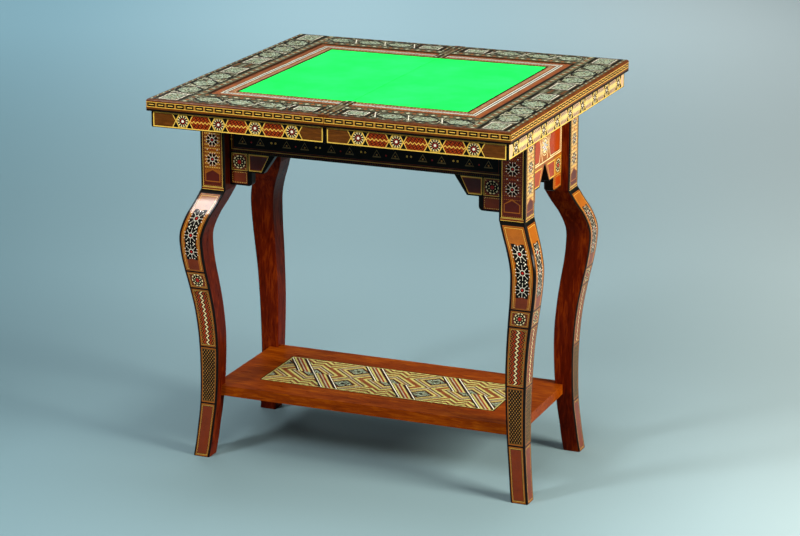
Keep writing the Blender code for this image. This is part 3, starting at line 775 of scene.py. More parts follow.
def motif(rows, size):
    """Rings of pieces round a point, made to a size."""
    shapes = []
    for kind, look, count, place_share, length_share, width_share, turn_share in rows:
        if kind == "disc":
            shapes += disc(look, place_share * size, count, turn=turn_share)
            continue
        maker = kite if kind == "kites" else bar
        piece = maker(look, length_share * size, width_share * size)
        shapes += around(piece, count, place_share * size, turn_share)
    return shapes


# star band on the lower layer's faces
BAND_EDGE = 0.0009        # black edge beyond the sheet's frame line
BAND_MARGIN = 0.0015      # from the layer's lower edge to the frame line
BAND_LINE = 0.0021        # frame line
BAND_END = 0.0045         # from a face's end to the frame line
ROSETTE = 0.0124
CROSS_REACH = 0.0150      # from a rosette's middle to the crossing beside it
CROSS_LEAN = 0.0072
CROSS_LINE = 0.0016
TOOTH = 0.0041            # half a zigzag
SWING = 0.0021
ROSETTE_START = 0.0705    # on a front or back face, from the seam
ROSETTE_PITCH = 0.0795
ROSETTE_PLACE_SHARES = (0, 1, 2.00629, 3)  # from the first one, as shares of the pitch
SIDE_PITCH = 0.0798
SIDE_STEPS = 4            # rosettes on each side of a side face's middle
PAINTED_WASH_LOOKS = {"scarlet": "peach", "brown": "peach", "wine": "straw", "red": "clay"}  # paler looks on the table's ends: painted highlight of the light washing them
ZIGZAG_SHARES = (
    # look, height from the middle and width, as shares of half the panel
    ("black", -0.80, 0.13), ("black", 0.80, 0.13), ("black", -0.52, 0.13), ("black", 0.52, 0.13),
    ("wine", -0.24, 0.14), ("wine", 0.24, 0.14), ("yellow", 0.0, 0.16),
)


def band_panel(x0, x1, low, high):
    """A panel with pointed ends, crossed by rows of zigzags."""
    middle = (low + high) / 2
    half = (high - low) / 2
    shapes = polygon(
        "scarlet", (x0, middle), (x0 + CROSS_LEAN, low), (x1 - CROSS_LEAN, low),
        (x1, middle), (x1 - CROSS_LEAN, high), (x0 + CROSS_LEAN, high),
    )
    for look, height_share, width_share in ZIGZAG_SHARES:
        inset = abs(height_share) * CROSS_LEAN + CROSS_LINE
        y = middle + height_share * half
        shapes += zigzag(look, x0 + inset, x1 - inset, y, TOOTH, SWING, width_share * half)
    return shapes


def star_band(length, centres):
    """The band on a face: X runs along it from 0 to length, Y is the height."""
    low = CASE_BOTTOM + BAND_MARGIN + BAND_LINE
    high = CASE_TOP - BAND_MARGIN - BAND_LINE
    start = BAND_END + BAND_LINE
    end = length - BAND_END - BAND_LINE
    middle = (low + high) / 2
    shapes = block("black", BAND_EDGE, CASE_BOTTOM + BAND_EDGE, length - BAND_EDGE, CASE_TOP - BAND_EDGE)
    shapes += hoop("yellow", BAND_END, low - BAND_LINE, length - BAND_END, high + BAND_LINE, BAND_LINE)
    for edge, centre, sign in ((start, centres[0], -1), (end, centres[-1], 1)):
        tip = centre + sign * CROSS_REACH
        shapes += polygon(
            "brown", (edge, low), (tip + sign * CROSS_LEAN, low), (tip, middle),
            (tip + sign * CROSS_LEAN, high), (edge, high),
        )
    for left, right in zip(centres, centres[1:]):
        shapes += band_panel(left + CROSS_REACH, right - CROSS_REACH, low, high)
    for centre in centres:
        for x in (centre - CROSS_REACH, centre + CROSS_REACH):
            for lean in (-CROSS_LEAN, CROSS_LEAN):
                shapes += stroke("yellow", (x - lean, low), (x + lean, high), CROSS_LINE)
        shapes += moved(motif(ROSETTE_SHARES, ROSETTE), centre, middle)
    return shapes


# chain band on the upper layer's edge
CHAIN_INSET = 0.0003
CHAIN_SHADOW = 0.0040      # heights over the upper layer's lower edge
CHAIN_GOLD = 0.0080
CHAIN_RED = 0.0190
CHAIN_MIDDLE = 0.0135
CHAIN_PITCH = 0.0209
CHAIN_LENGTH = 0.0172
CHAIN_HEIGHT = 0.0086
CHAIN_LINE = 0.0030
CHAIN_GAP = 0.0009        # from a link to the fine line beside it
FINE = 0.0006


def chain_band(length):
    """Black links on a yellow band, between wooden strips, over a black strip of painted shadow along the
    lower edge.
    """
    low = RIM_BOTTOM
    shapes = block("rust", 0, low + CHAIN_INSET, length, TOP - RIM_ROUNDING)
    # black along the lower edge: painted shadow under the upper layer
    shapes += block("black", 0, low, length, low + CHAIN_SHADOW)
    shapes += block("brown", 0, low + CHAIN_SHADOW, length, low + CHAIN_GOLD)
    shapes += block("orange", 0, low + CHAIN_GOLD - CHAIN_GAP, length, low + CHAIN_GOLD)
    shapes += block("gold", 0, low + CHAIN_GOLD, length, low + CHAIN_RED)
    middle = low + CHAIN_MIDDLE
    tall = CHAIN_HEIGHT / 2
    for y in (middle - tall - CHAIN_GAP, middle + tall):
        shapes += block("yellow", 0, y, length, y + CHAIN_GAP)
    count = round(length / CHAIN_PITCH)
    pitch = length / count
    half = CHAIN_LENGTH / 2
    for index in range(count):
        x = (index + HALF) * pitch
        shapes += framed(
            x - half, middle - tall, x + half, middle + tall, ("black", CHAIN_LINE), ("rust", CHAIN_LINE),
        )
        shapes += bar("yellow", CHAIN_LENGTH - 2 * CHAIN_LINE, CHAIN_LINE / 2, x, middle)
    return shapes


def painted_wash(shapes):
    """The same shapes in paler looks: painted highlight of the light washing the table's ends."""
    return [(PAINTED_WASH_LOOKS.get(look, look), points) for look, points in shapes]


def lay_edge_bands(leaf, side):
    """Star and chain bands on a leaf's front, back and outer side."""
    out = X_AXIS * side
    centres = [ROSETTE_START + ROSETTE_PITCH * share for share in ROSETTE_PLACE_SHARES]
    for name, end in (("front", -1), ("back", 1)):
        lay_sheet(
            f"{leaf}_star_band_{name}", leaf, star_band(CASE_X, centres),
            on_plane(Vector((SEAM_X, end * CASE_Y, 0)), out, Z_AXIS, Y_AXIS * end),
        )
        lay_sheet(
            f"{leaf}_chain_band_{name}", leaf, moved(chain_band(RIM_X - 2 * FINE), FINE),
            on_plane(Vector((SEAM_X, end * RIM_Y, 0)), out, Z_AXIS, Y_AXIS * end),
        )
    centres = [CASE_Y + SIDE_PITCH * step for step in range(-SIDE_STEPS, SIDE_STEPS + 1)]
    # the side band gets paler looks as painted highlight
    lay_sheet(
        f"{leaf}_star_band_side", leaf, painted_wash(star_band(2 * CASE_Y, centres)),
        on_plane(Vector((SEAM_X + side * CASE_X, -CASE_Y, 0)), Y_AXIS, Z_AXIS, out),
    )
    lay_sheet(
        f"{leaf}_chain_band_side", leaf, moved(chain_band(2 * RIM_Y - 2 * FINE), FINE),
        on_plane(Vector((SEAM_X + side * RIM_X, -RIM_Y, 0)), Y_AXIS, Z_AXIS, out),
    )


# mosaic border on the top; distances out from the seam, or from the middle
BORDER_X = RIM_X - RIM_ROUNDING
BORDER_Y = RIM_Y - RIM_ROUNDING
EDGE_LINE = 0.0011
STRIP_PITCH = 0.0128
SIDE_STRIP_OUT = 0.3828
SIDE_STRIP_IN = 0.3738
FIELD_OUT = 0.3718
FIELD_IN = 0.3165
INNER_STRIP_OUT = 0.3148
INNER_STRIP_IN = BOARD_X + 2 * EDGE_LINE
END_STRIP_IN = 0.3535
END_STRIP_OUT = 0.3615
END_FIELD_OUT = 0.3515
END_FIELD_IN = 0.3055
END_INNER_OUT = 0.3035
END_INNER_IN = BOARD_Y + 2 * EDGE_LINE
END_CELL_START = 0.0925
END_CELL = 0.0695
END_CELL_COUNT = 3
SQUARE_NEAR = 0.0235
SQUARE_FAR = 0.0830
SEAM_STRIP = 0.0113
DIVIDER = 0.0180          # half a side border's middle divider
DIVIDER_BAR = 0.0052
SIDE_CELLS = 5
TIP_SHARE = 0.34          # a pointed field's tip, as a share of its length
SLASH_SHARE = 0.35        # how far the white line between two fields leans, as a share of a tip
STRIP_SHARES = (
    # look, length and width of the pieces along a strip, as shares of its pitch and width
    ("black", 0.90, 0.86), ("reed", 0.74, 0.60),
)


def dotted_strip(x0, x1, y0, y1, pitch):
    """A pale strip along X with dark lozenges along its middle."""
    shapes = block("black", x0, y0, x1, y1)
    shapes += block("moss", x0, y0 + EDGE_LINE, x1, y1 - EDGE_LINE)
    count = max(2, round((x1 - x0) / pitch))
    step = (x1 - x0) / count
    for index in range(count):
        x = x0 + (index + HALF) * step
        for look, length_share, width_share in STRIP_SHARES:
            shown = "clay" if look == "reed" and index % 2 else look
            shapes += kite(shown, length_share * step, width_share * (y1 - y0), x, (y0 + y1) / 2)
    return shapes


def lozenge_cell(x0, x1, y0, y1):
    """A pointed field of fine mosaic, with crossing lines at its tips."""
    middle = (y0 + y1) / 2
    tip = (x1 - x0) * TIP_SHARE
    shapes = block("black", x0, y0, x1, y1)
    for x, direction in ((x0, 1), (x1, -1)):
        for y in (y0, y1):
            corner = [(x, y), (x + direction * tip, y), (x, middle)]
            shapes += nested(corner, ("black", "reed", "black", "dark_mosaic"))
    lean = tip * SLASH_SHARE
    shapes += stroke("bone", (x0 - lean, y0 + CELL_LINE), (x0 + lean, y1 - CELL_LINE), CELL_LINE)
    hexagon = [
        (x0, middle), (x0 + tip, y0), (x1 - tip, y0), (x1, middle), (x1 - tip, y1), (x0 + tip, y1),
    ]
    shapes += nested(hexagon, ("black", "black", "black", "mosaic"))
    return shapes


def square_cell(x0, x1, y0, y1):
    """A framed rectangle of fine mosaic."""
    corners = [(x0, y0), (x1, y0), (x1, y1), (x0, y1)]
    return nested(corners, ("black", "black", "olive", "olive", "bone", "black", "mosaic"))


def divider(x0, x1, y0, y1):
    """A pale crosswise strip between black lines."""
    shapes = block("black", x0, y0, x1, y1)
    return shapes + swapped(dotted_strip(y0, y1, x0 + CELL_LINE, x1 - CELL_LINE, STRIP_PITCH))


def side_row(y0, y1):
    """One group of cells on a side border."""
    step = (y1 - y0) / SIDE_CELLS
    shapes = []
    for index in range(SIDE_CELLS):
        maker = square_cell if index in (0, SIDE_CELLS - 1) else lozenge_cell
        shapes += maker(y0 + index * step, y0 + (index + 1) * step, FIELD_IN, FIELD_OUT)
    return swapped(shapes)


def end_row():
    """The border across a leaf's end, drawn towards positive Y."""
    shapes = dotted_strip(SEAM_STRIP, INNER_STRIP_IN, END_STRIP_IN, END_STRIP_OUT, STRIP_PITCH)
    shapes += dotted_strip(SEAM_STRIP, INNER_STRIP_IN, END_INNER_IN, END_INNER_OUT, STRIP_PITCH)
    shapes += divider(SEAM_STRIP, SQUARE_NEAR, END_INNER_OUT, END_STRIP_IN)
    shapes += square_cell(SQUARE_NEAR, SQUARE_FAR, END_FIELD_IN, END_FIELD_OUT)
    shapes += divider(SQUARE_FAR, END_CELL_START, END_FIELD_IN, END_FIELD_OUT)
    for index in range(END_CELL_COUNT):
        x = END_CELL_START + index * END_CELL
        shapes += lozenge_cell(x, x + END_CELL, END_FIELD_IN, END_FIELD_OUT)
    return shapes + swapped(dotted_strip(BLOCK_Y, BORDER_Y, EDGE_LINE, SEAM_STRIP, STRIP_PITCH))


def top_border():
    """All shapes of one leaf's mosaic border; X runs out from the seam."""
    end = BORDER_Y
    shapes = []
    for y0, y1 in ((-end, -DIVIDER), (DIVIDER, end)):
        shapes += side_row(y0, y1)
    shapes += block("black", FIELD_IN, -DIVIDER, FIELD_OUT, DIVIDER)
    for y0, y1 in (
        (-DIVIDER + EDGE_LINE, -DIVIDER_BAR - EDGE_LINE), (-DIVIDER_BAR, DIVIDER_BAR),
        (DIVIDER_BAR + EDGE_LINE, DIVIDER - EDGE_LINE),
    ):
        shapes += dotted_strip(FIELD_IN, FIELD_OUT, y0, y1, STRIP_PITCH)
    shapes += swapped(dotted_strip(-end, end, SIDE_STRIP_IN, SIDE_STRIP_OUT, STRIP_PITCH))
    shapes += swapped(dotted_strip(-end, end, INNER_STRIP_IN, INNER_STRIP_OUT, STRIP_PITCH))
    row = end_row()
    return shapes + row + changed(row, lambda x, y: (x, -y))


def border_outline():
    """The leaf's border, round the board, the seam blocks and the hinges."""
    hinge_x = hinge_high.x - SEAM_X + SHEET_CLEAR
    block_y = BLOCK_Y + FINE
    board_x = BOARD_X + SHEET_CLEAR
    board_y = BOARD_Y + SHEET_CLEAR
    half = [
        (BORDER_X, BORDER_Y), (SHEET_CLEAR, BORDER_Y), (SHEET_CLEAR, hinge_high.y + SHEET_CLEAR),
        (hinge_x, hinge_high.y + SHEET_CLEAR), (hinge_x, hinge_low.y - SHEET_CLEAR),
        (SHEET_CLEAR, hinge_low.y - SHEET_CLEAR), (SHEET_CLEAR, block_y),
        (BLOCK_X, block_y), (BLOCK_X, board_y), (board_x, board_y),
    ]
    return half + [(x, -y) for x, y in reversed(half)]


def lay_top_border(leaf, side):
    """The mosaic border of a leaf."""
    shapes = polygon("black", *border_outline()) + top_border()
    lay_sheet(
        f"{leaf}_mosaic_border", leaf, shapes,
        on_plane(Vector((SEAM_X, 0, TOP)), X_AXIS * side, Y_AXIS, Z_AXIS),
    )


# red inlay round the felt
RAIL = 0.0450             # width of the inlaid rail
RAIL_PITCH = 0.0075
# the black under the strips shows at both edges of a rail: a black line at the outer edge, and next to the
# felt painted shadow of the felt's edge
RAIL_SHARES = (
    # look, start and end across the rail, from its outer edge
    ("clay", 0.09, 0.36), ("black", 0.36, 0.40), ("bone", 0.40, 0.45), ("slate", 0.45, 0.55),
    ("bone", 0.55, 0.60), ("black", 0.60, 0.64), ("clay", 0.64, 0.91),
)
TICK_SHARES = (
    # look, middle across the rail, length along the pitch, width across the rail
    ("rust", 0.175, 0.40, 0.20), ("reed", 0.80, 0.25, 0.15), ("black", 0.50, 0.45, 0.09),
)


def rail(x0, x1, mitre0, mitre1):
    """A rail's shapes: X along it, Y in from its outer edge, mitred ends."""
    def strip(look, a, b):
        return polygon(
            look, (x0 + mitre0 * a, a), (x1 - mitre1 * a, a), (x1 - mitre1 * b, b), (x0 + mitre0 * b, b),
        )
    shapes = strip("black", 0, RAIL)
    for look, start_share, end_share in RAIL_SHARES:
        shapes += strip(look, start_share * RAIL, end_share * RAIL)
    for look, middle_share, length_share, width_share in TICK_SHARES:
        y = middle_share * RAIL
        far = y + width_share * RAIL / 2
        shapes += dots(
            look, x0 + mitre0 * far, x1 - mitre1 * far, y, RAIL_PITCH, length_share * RAIL_PITCH,
            width_share * RAIL,
        )
    return shapes


def lay_insert_frame(leaf, side):
    """The red inlaid border on a leaf's lift-out board."""
    x_out = BOARD_X - CHAIN_INSET
    y_out = BOARD_Y - CHAIN_INSET
    near = BLOCK_X + EDGE_LINE
    inner_x = x_out - RAIL
    inner_y = y_out - RAIL
    shapes = polygon(
        "black", (near, y_out), (x_out, y_out), (x_out, -y_out), (near, -y_out),
        (near, -inner_y), (inner_x, -inner_y), (inner_x, inner_y), (near, inner_y),
    )
    end_rail = rail(near, x_out, 0, 1)
    shapes += changed(end_rail, lambda x, y: (x, y_out - y))
    shapes += changed(end_rail, lambda x, y: (x, y - y_out))
    shapes += changed(rail(-y_out, y_out, 1, 1), lambda x, y: (x_out - y, x))
    lay_sheet(
        f"{leaf}_red_frame", leaf.replace("_leaf", "_lift_out"), shapes,
        on_plane(Vector((SEAM_X, 0, BOARD_TOP)), X_AXIS * side, Y_AXIS, Z_AXIS),
    )


# legs
FACE_WIDTH = 0.0516       # a leg face's flat width, as its sheet is drawn
CHAMFER_RUN = 0.0031
LEG_CHAMFER = 0.0022
CHAMFER_LIFT_SHARE = 0.41
LEG_EDGE = 0.0004         # from a leg's end to its sheet
LEG_STRIPS = 5            # chamfer, face, chamfer, face, chamfer
LEVEL_DIGITS = 5          # decimals of a height to which a leg's points make one section
SHADED_POST = "front_right"  # the leg whose front face gets a dark wine ground round its stars, as painted shade
INLAY_HALF = 0.0224
DOT_PITCH = 0.0040
DOT = 0.0020
HAIR = 0.0009
BORDER = 0.0021
POST_BOTTOM = 0.5945
HOUSE_BOTTOM = 0.6050
HOUSE_EAVES = 0.6225
HOUSE_TOP = 0.6320
POST_STAR_START = 0.6530
POST_STAR_PITCH = 0.0415
STAR_COUNT = 3
STAR = 0.0147
FILLER_WHITE = 0.0018
FILLER_RED = 0.00135
FILLER_TURN_SHARE = 0.25
STRIP_BOTTOM = 0.5880
STRIP_TOP = 0.5935
KNEE_BOTTOM = 0.4160
KNEE_TOP = 0.5795
KNEE_STAR_START = 0.4590
KNEE_STAR_PITCH = 0.0355
KNEE_STAR = 0.0164
KNEE_HALF = 0.0142
KNEE_FIELD_LOW = 0.4410
KNEE_FIELD_HIGH = 0.5480
KNEE_PANEL_GAP = 0.00315
KNEE_DOT_SHARE = 0.62
WHEEL_BOTTOM = 0.3780
WHEEL_TOP = 0.4120
WHEEL = 0.0150
ZIGZAG_BOTTOM = 0.2460
ZIGZAG_TOP = 0.3740
CHECK_BOTTOM = 0.1205
CHECK_TOP = 0.2425
CHECK = 0.0042
CHECK_LENGTH_SHARE = 0.6
CHECK_WIDTH_SHARE = 0.7
LEG_TOOTH = 0.0050
LEG_SWING = 0.0034
FOOT_BOTTOM = 0.0015
FOOT_TOP = 0.1165
LEG_ZIGZAG_SHARES = (
    # look, place across and width, as shares of the inlay's half width
    ("orange", -0.70, 0.15), ("orange", 0.70, 0.15), ("scarlet", -0.37, 0.22), ("scarlet", 0.37, 0.22),
    ("cream", 0.0, 0.17),
)


def section(low, high, *bands):
    """A framed field across a leg's face, between two heights."""
    return framed(-INLAY_HALF, low, INLAY_HALF, high, *bands)


def dotted_hoop(look, x0, y0, x1, y1):
    """A rectangle of small dashes."""
    shapes = []
    for y in (y0, y1):
        shapes += dots(look, x0, x1, y, DOT_PITCH, DOT, HAIR)
    for x in (x0, x1):
        shapes += swapped(dots(look, y0, y1, x, DOT_PITCH, DOT, HAIR))
    return shapes


def star_filler(z):
    """The pieces between two stars."""
    shapes = kite("scarlet", STAR / 2, STAR / 3, 0, z)
    for x in (-INLAY_HALF / 2, INLAY_HALF / 2):
        shapes += disc("bone", FILLER_WHITE, 3, x, z, FILLER_TURN_SHARE)
        shapes += disc("red", FILLER_RED, 4, x / 2, z)
    return shapes


def star_column(size, first, pitch):
    """Stars above each other along the middle of a leg's face."""
    shapes = []
    for index in range(STAR_COUNT):
        shapes += moved(motif(STAR_SHARES, size), 0, first + index * pitch)
    return shapes


def post_face(ground):
    """Stars over a pointed panel, on the leg's straight top."""
    inner = INLAY_HALF - 2 * BORDER
    top = BASE_TOP - HAIR
    shapes = section(POST_BOTTOM, top, ("yellow", HAIR), ("wine", 2 * BORDER - HAIR), (ground, 0))
    edge = INLAY_HALF - BORDER - HAIR / 2
    shapes += dotted_hoop("orange", -edge, POST_BOTTOM + BORDER + HAIR, edge, top - BORDER)
    # on the wine ground of painted shade the dotted bits are orange and rust
    bits = ("orange", "rust") if ground == "wine" else ("wine", "yellow")
    rows = int((top - HOUSE_TOP) / DOT_PITCH)
    for row in range(rows):
        shapes += dots(bits[row % 2], -inner, inner, HOUSE_TOP + row * DOT_PITCH, DOT_PITCH, DOT, DOT)
    shapes += block("wine", -inner, POST_BOTTOM + 2 * BORDER, inner, HOUSE_EAVES)
    gable = HOUSE_EAVES - HAIR
    shapes += polygon("orange", (-inner, gable), (inner, gable), (0, HOUSE_TOP + 2 * HAIR))
    house = ((-inner + HAIR, HOUSE_BOTTOM), (inner - HAIR, HOUSE_BOTTOM), (inner - HAIR, HOUSE_EAVES),
             (0, HOUSE_TOP), (-inner + HAIR, HOUSE_EAVES))
    shapes += nested(house, ("orange", "wine"))
    for index in range(STAR_COUNT - 1):
        shapes += star_filler(POST_STAR_START + (index + HALF) * POST_STAR_PITCH)
    return shapes + star_column(STAR, POST_STAR_START, POST_STAR_PITCH)


def knee_face():
    """Three stars on black between plain panels, on the leg's knee."""
    shapes = section(
        KNEE_BOTTOM, KNEE_TOP,
        ("orange", BORDER), ("black", FINE), ("orange", HAIR), ("yellow", FINE), ("orange", 0),
    )
    panel = KNEE_HALF - HAIR
    shapes += block("rust", -panel, KNEE_BOTTOM + KNEE_PANEL_GAP, panel, KNEE_FIELD_LOW)
    shapes += block("black", -KNEE_HALF, KNEE_FIELD_LOW, KNEE_HALF, KNEE_FIELD_HIGH)
    for look, z, sign in (("rust", KNEE_FIELD_LOW, 1), ("orange", KNEE_FIELD_HIGH, -1)):
        shapes += polygon(look, (-KNEE_HALF / 2, z), (KNEE_HALF / 2, z), (0, z + sign * 2 * BORDER))
    for index in range(STAR_COUNT - 1):
        z = KNEE_STAR_START + (index + HALF) * KNEE_STAR_PITCH
        for x in (-KNEE_HALF, KNEE_HALF):
            shapes += kite("orange", 2 * BORDER, 3 * BORDER, x, z)
            shapes += disc("bone", FILLER_WHITE, 6, x * KNEE_DOT_SHARE, z)
    return shapes + star_column(KNEE_STAR, KNEE_STAR_START, KNEE_STAR_PITCH)


def leg_face(ground):
    """All inlay of one outer face of a leg: X across its middle, Y is height."""
    shapes = post_face(ground)
    wide = INLAY_HALF + BORDER
    shapes += block("yellow", -wide, STRIP_BOTTOM, wide, STRIP_TOP)
    shapes += block("rust", -wide, STRIP_BOTTOM + HAIR, wide, STRIP_TOP - HAIR)
    shapes += knee_face()
    shapes += section(
        WHEEL_BOTTOM, WHEEL_TOP,
        ("orange", BORDER), ("brown", HAIR), ("yellow", FINE), ("rust", 0),
    )
    shapes += moved(motif(WHEEL_SHARES, WHEEL), 0, (WHEEL_BOTTOM + WHEEL_TOP) / 2)
    shapes += section(
        ZIGZAG_BOTTOM, ZIGZAG_TOP,
        ("orange", BORDER), ("black", HAIR), ("yellow", FINE), ("black", 0),
    )
    for look, place_share, width_share in LEG_ZIGZAG_SHARES:
        shapes += swapped(zigzag(
            look, ZIGZAG_BOTTOM + 2 * BORDER, ZIGZAG_TOP - 2 * BORDER, place_share * INLAY_HALF,
            LEG_TOOTH, LEG_SWING, width_share * INLAY_HALF,
        ))
    shapes += section(
        CHECK_BOTTOM, CHECK_TOP,
        ("orange", BORDER), ("black", HAIR), ("gold", FINE), ("black", 0),
    )
    rows = int((CHECK_TOP - CHECK_BOTTOM - 4 * BORDER) / CHECK)
    columns = int((INLAY_HALF - 2 * BORDER) / CHECK)
    for row in range(rows):
        z = CHECK_BOTTOM + 2 * BORDER + (row + HALF) * CHECK
        for column in range(-columns, columns + 1):
            if (row + column) % 2:
                length = CHECK * CHECK_LENGTH_SHARE
                shapes += bar("gold", length, CHECK * CHECK_WIDTH_SHARE, column * CHECK, z)
    shapes += section(
        FOOT_BOTTOM, FOOT_TOP,
        ("orange", BORDER), ("black", HAIR), ("yellow", FINE), ("brown", BORDER), ("rust", 0),
    )
    return shapes


def leg_rings(node):
    """Which way a leg's corner points, its corner, and its sections' reach and width."""
    low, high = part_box(node)
    side = 1 if (low.x + high.x) / 2 > SEAM_X else -1
    end = 1 if (low.y + high.y) / 2 > 0 else -1
    levels = {}
    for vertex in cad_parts[node].data.vertices:
        levels.setdefault(round(vertex.co.z, LEVEL_DIGITS), []).append(vertex.co)
    heights = sorted(levels)
    top = levels[heights[-1]]
    corner_x = max(side * co.x for co in top) * side
    corner_y = max(end * co.y for co in top) * end
    rings = []
    for height in heights:
        reaches = [side * (co.x - corner_x) for co in levels[height]]
        rings.append((height, max(reaches), max(reaches) - min(reaches)))
    return side, end, corner_x, corner_y, rings


def ring_at(rings, height):
    """A leg's reach and width at a height, along a smooth curve."""
    last = len(rings) - 1
    index = 0
    while index < last - 1 and rings[index + 1][0] < height:
        index += 1
    low = rings[index]
    high = rings[index + 1]
    span = high[0] - low[0]
    t = (height - low[0]) / span
    values = []
    for column in (1, 2):
        if index >= last - 1:
            values.append(low[column] + (high[column] - low[column]) * t)
            continue
        before = rings[max(index - 1, 0)]
        after = rings[min(index + 2, last - 1)]
        slope_low = (high[column] - before[column]) / (high[0] - before[0])
        slope_high = (after[column] - low[column]) / (after[0] - low[0])
        values.append(
            low[column] * (2 * t**3 - 3 * t**2 + 1) + high[column] * (3 * t**2 - 2 * t**3)
            + slope_low * span * (t**3 - 2 * t**2 + t) + slope_high * span * (t**3 - t**2)
        )
    return values


def leg_place(side, end, corner_x, corner_y, rings):
    """Wraps a sheet round a leg's two outer faces and their chamfers.

    X runs round the leg from the inner edge of the face that looks front or
    back, over the outer corner, to the inner edge of the face that looks left
    or right. Y is the height.
    """
    stops = [0]
    for index in range(LEG_STRIPS):
        stops.append(stops[-1] + (FACE_WIDTH if index % 2 else CHAMFER_RUN))

    def place(x, y, lift):
        reach, width = ring_at(rings, y)
        inner = reach - width
        cut = LEG_CHAMFER - lift * CHAMFER_LIFT_SHARE
        profile = (
            (inner - lift, reach - LEG_CHAMFER), (inner + cut, reach + lift),
            (reach - cut, reach + lift), (reach + lift, reach - cut),
            (reach + lift, inner + cut), (reach - LEG_CHAMFER, inner - lift),
        )
        index = 0
        while index < LEG_STRIPS - 1 and x > stops[index + 1]:
            index += 1
        t = (x - stops[index]) / (stops[index + 1] - stops[index])
        ax, ay = profile[index]
        bx, by = profile[index + 1]
        out_x = side * (ax + (bx - ax) * t)
        out_y = end * (ay + (by - ay) * t)
        return Vector((corner_x + out_x, corner_y + out_y, y))
    return place, stops


def lay_leg(corner):
    """The inlay on a leg's two outer faces."""
    side, end, corner_x, corner_y, rings = leg_rings("leg_" + corner)
    place, stops = leg_place(side, end, corner_x, corner_y, rings)
    shapes = block("black", 0, LEG_EDGE, stops[-1], BASE_TOP - LEG_EDGE)
    for index in (1, 3):
        # the faces that look left or right get a paler ground: painted highlight of the key light
        ground = "orange" if index == 1 else "amber"
        # the front face of the shaded post gets a wine ground as painted shade
        if corner == SHADED_POST and index == 1:
            ground = "wine"
        shapes += moved(leg_face(ground), (stops[index] + stops[index + 1]) / 2)
    lines = [((0, ring[0]), (stops[-1], ring[0])) for ring in rings[1:-1]]
    lines += [((stop, LEG_EDGE), (stop, BASE_TOP - LEG_EDGE)) for stop in stops[1:-1]]
    lay_sheet(f"leg_inlay_{corner}", "base", shapes, place, lines, smooth=True)


# aprons and brackets
BRACKET_LEDGE = 0.0400    # from the apron's lower edge down to the bracket's ledge
BRACKET_STEP = 0.0500     # distances from the post
BRACKET_FOOT = 0.0760
BRACKET_REACH = 0.1024
BRACKET_ROUNDING = 0.0080
BRACKET_EDGE = 0.0009
ROUNDING_STEPS = 6
SQUARE_OUT = 0.0045
SQUARE_SIZE = 0.0360
SQUARE_DROP = 0.0008
SMALL_BOTTOM = 0.0042
PANEL_GAP = 0.0035
PANEL_TOP_REACH = 0.0120
PANEL_FOOT_REACH = 0.0030
FIELD_BOTTOM = 0.0070
FIELD_TOP = 0.0220
FIELD_END = 0.0045
TRIANGLE_PITCH = 0.1005
TRIANGLE_OFFSET = 0.0203
TRIANGLE_HALF = 0.0100
TRIANGLE_BASE = 0.0195
TRIANGLE_HEIGHT = 0.0165
TRIANGLE_STEPS = 3
MEDALLION = 0.0180
MEDALLION_PANEL = 0.0240
POINT = 0.0100
LEAF_SHARE = 0.92         # from a wheel's middle to the leaves at its corners
LEAF_TURN = 45
TRIANGLE_LINE = 0.00273
FLOWER = 0.0022
FLOWER_EYE = 0.0010
FLOWER_SHARE = 0.45
GROUND_SHARE = 0.985


def bracket_edge():
    """A bracket's lower edge: X in from the post, Y up from its foot."""
    r = BRACKET_ROUNDING
    points = [(0, 0)]
    for index in range(ROUNDING_STEPS):
        angle = pi / 2 * index / (ROUNDING_STEPS - 1)
        points.append((BRACKET_STEP - r + r * sin(angle), r - r * cos(angle)))
    ledge = APRON_BOTTOM - BRACKET_LEDGE - BRACKET_BOTTOM
    rise = APRON_BOTTOM - BRACKET_BOTTOM
    return points + [(BRACKET_STEP, ledge), (BRACKET_FOOT, ledge), (BRACKET_REACH, rise)]


def bracket_inlay(post, ground, fill):
    """Star square, small square and slanted panel of the right-hand bracket."""
    top = APRON_BOTTOM - SQUARE_DROP
    x1 = post - SQUARE_OUT
    x0 = x1 - SQUARE_SIZE
    mid = top - SQUARE_SIZE
    middle = (x0 + x1) / 2
    shapes = framed(x0, mid, x1, top, ("yellow", HAIR), (ground, 0))
    shapes += dotted_hoop("orange", x0 + BORDER, mid + BORDER, x1 - BORDER, top - BORDER)
    shapes += moved(motif(WHEEL_SHARES, WHEEL), middle, (mid + top) / 2)
    for sx in (-1, 1):
        for sy in (-1, 1):
            leaf = moved(kite("yellow", 2 * DOT, DOT), turn=LEAF_TURN * sx * sy)
            reach = WHEEL * LEAF_SHARE
            shapes += moved(leaf, middle + sx * reach, (mid + top) / 2 + sy * reach)
    low = BRACKET_BOTTOM + SMALL_BOTTOM
    shapes += framed(x0, low, x1, mid - BORDER, ("rust" if fill == "wine" else fill, 0))
    shapes += dotted_hoop("yellow", x0 + BORDER, low + BORDER, x1 - BORDER, mid - 2 * BORDER)
    ledge = APRON_BOTTOM - BRACKET_LEDGE + PANEL_GAP
    right = x0 - PANEL_GAP
    panel = ((right, ledge), (right, top), (post - BRACKET_REACH + PANEL_TOP_REACH, top),
             (post - BRACKET_FOOT + PANEL_FOOT_REACH, ledge))
    return shapes + nested(panel, ("yellow", "orange", fill))


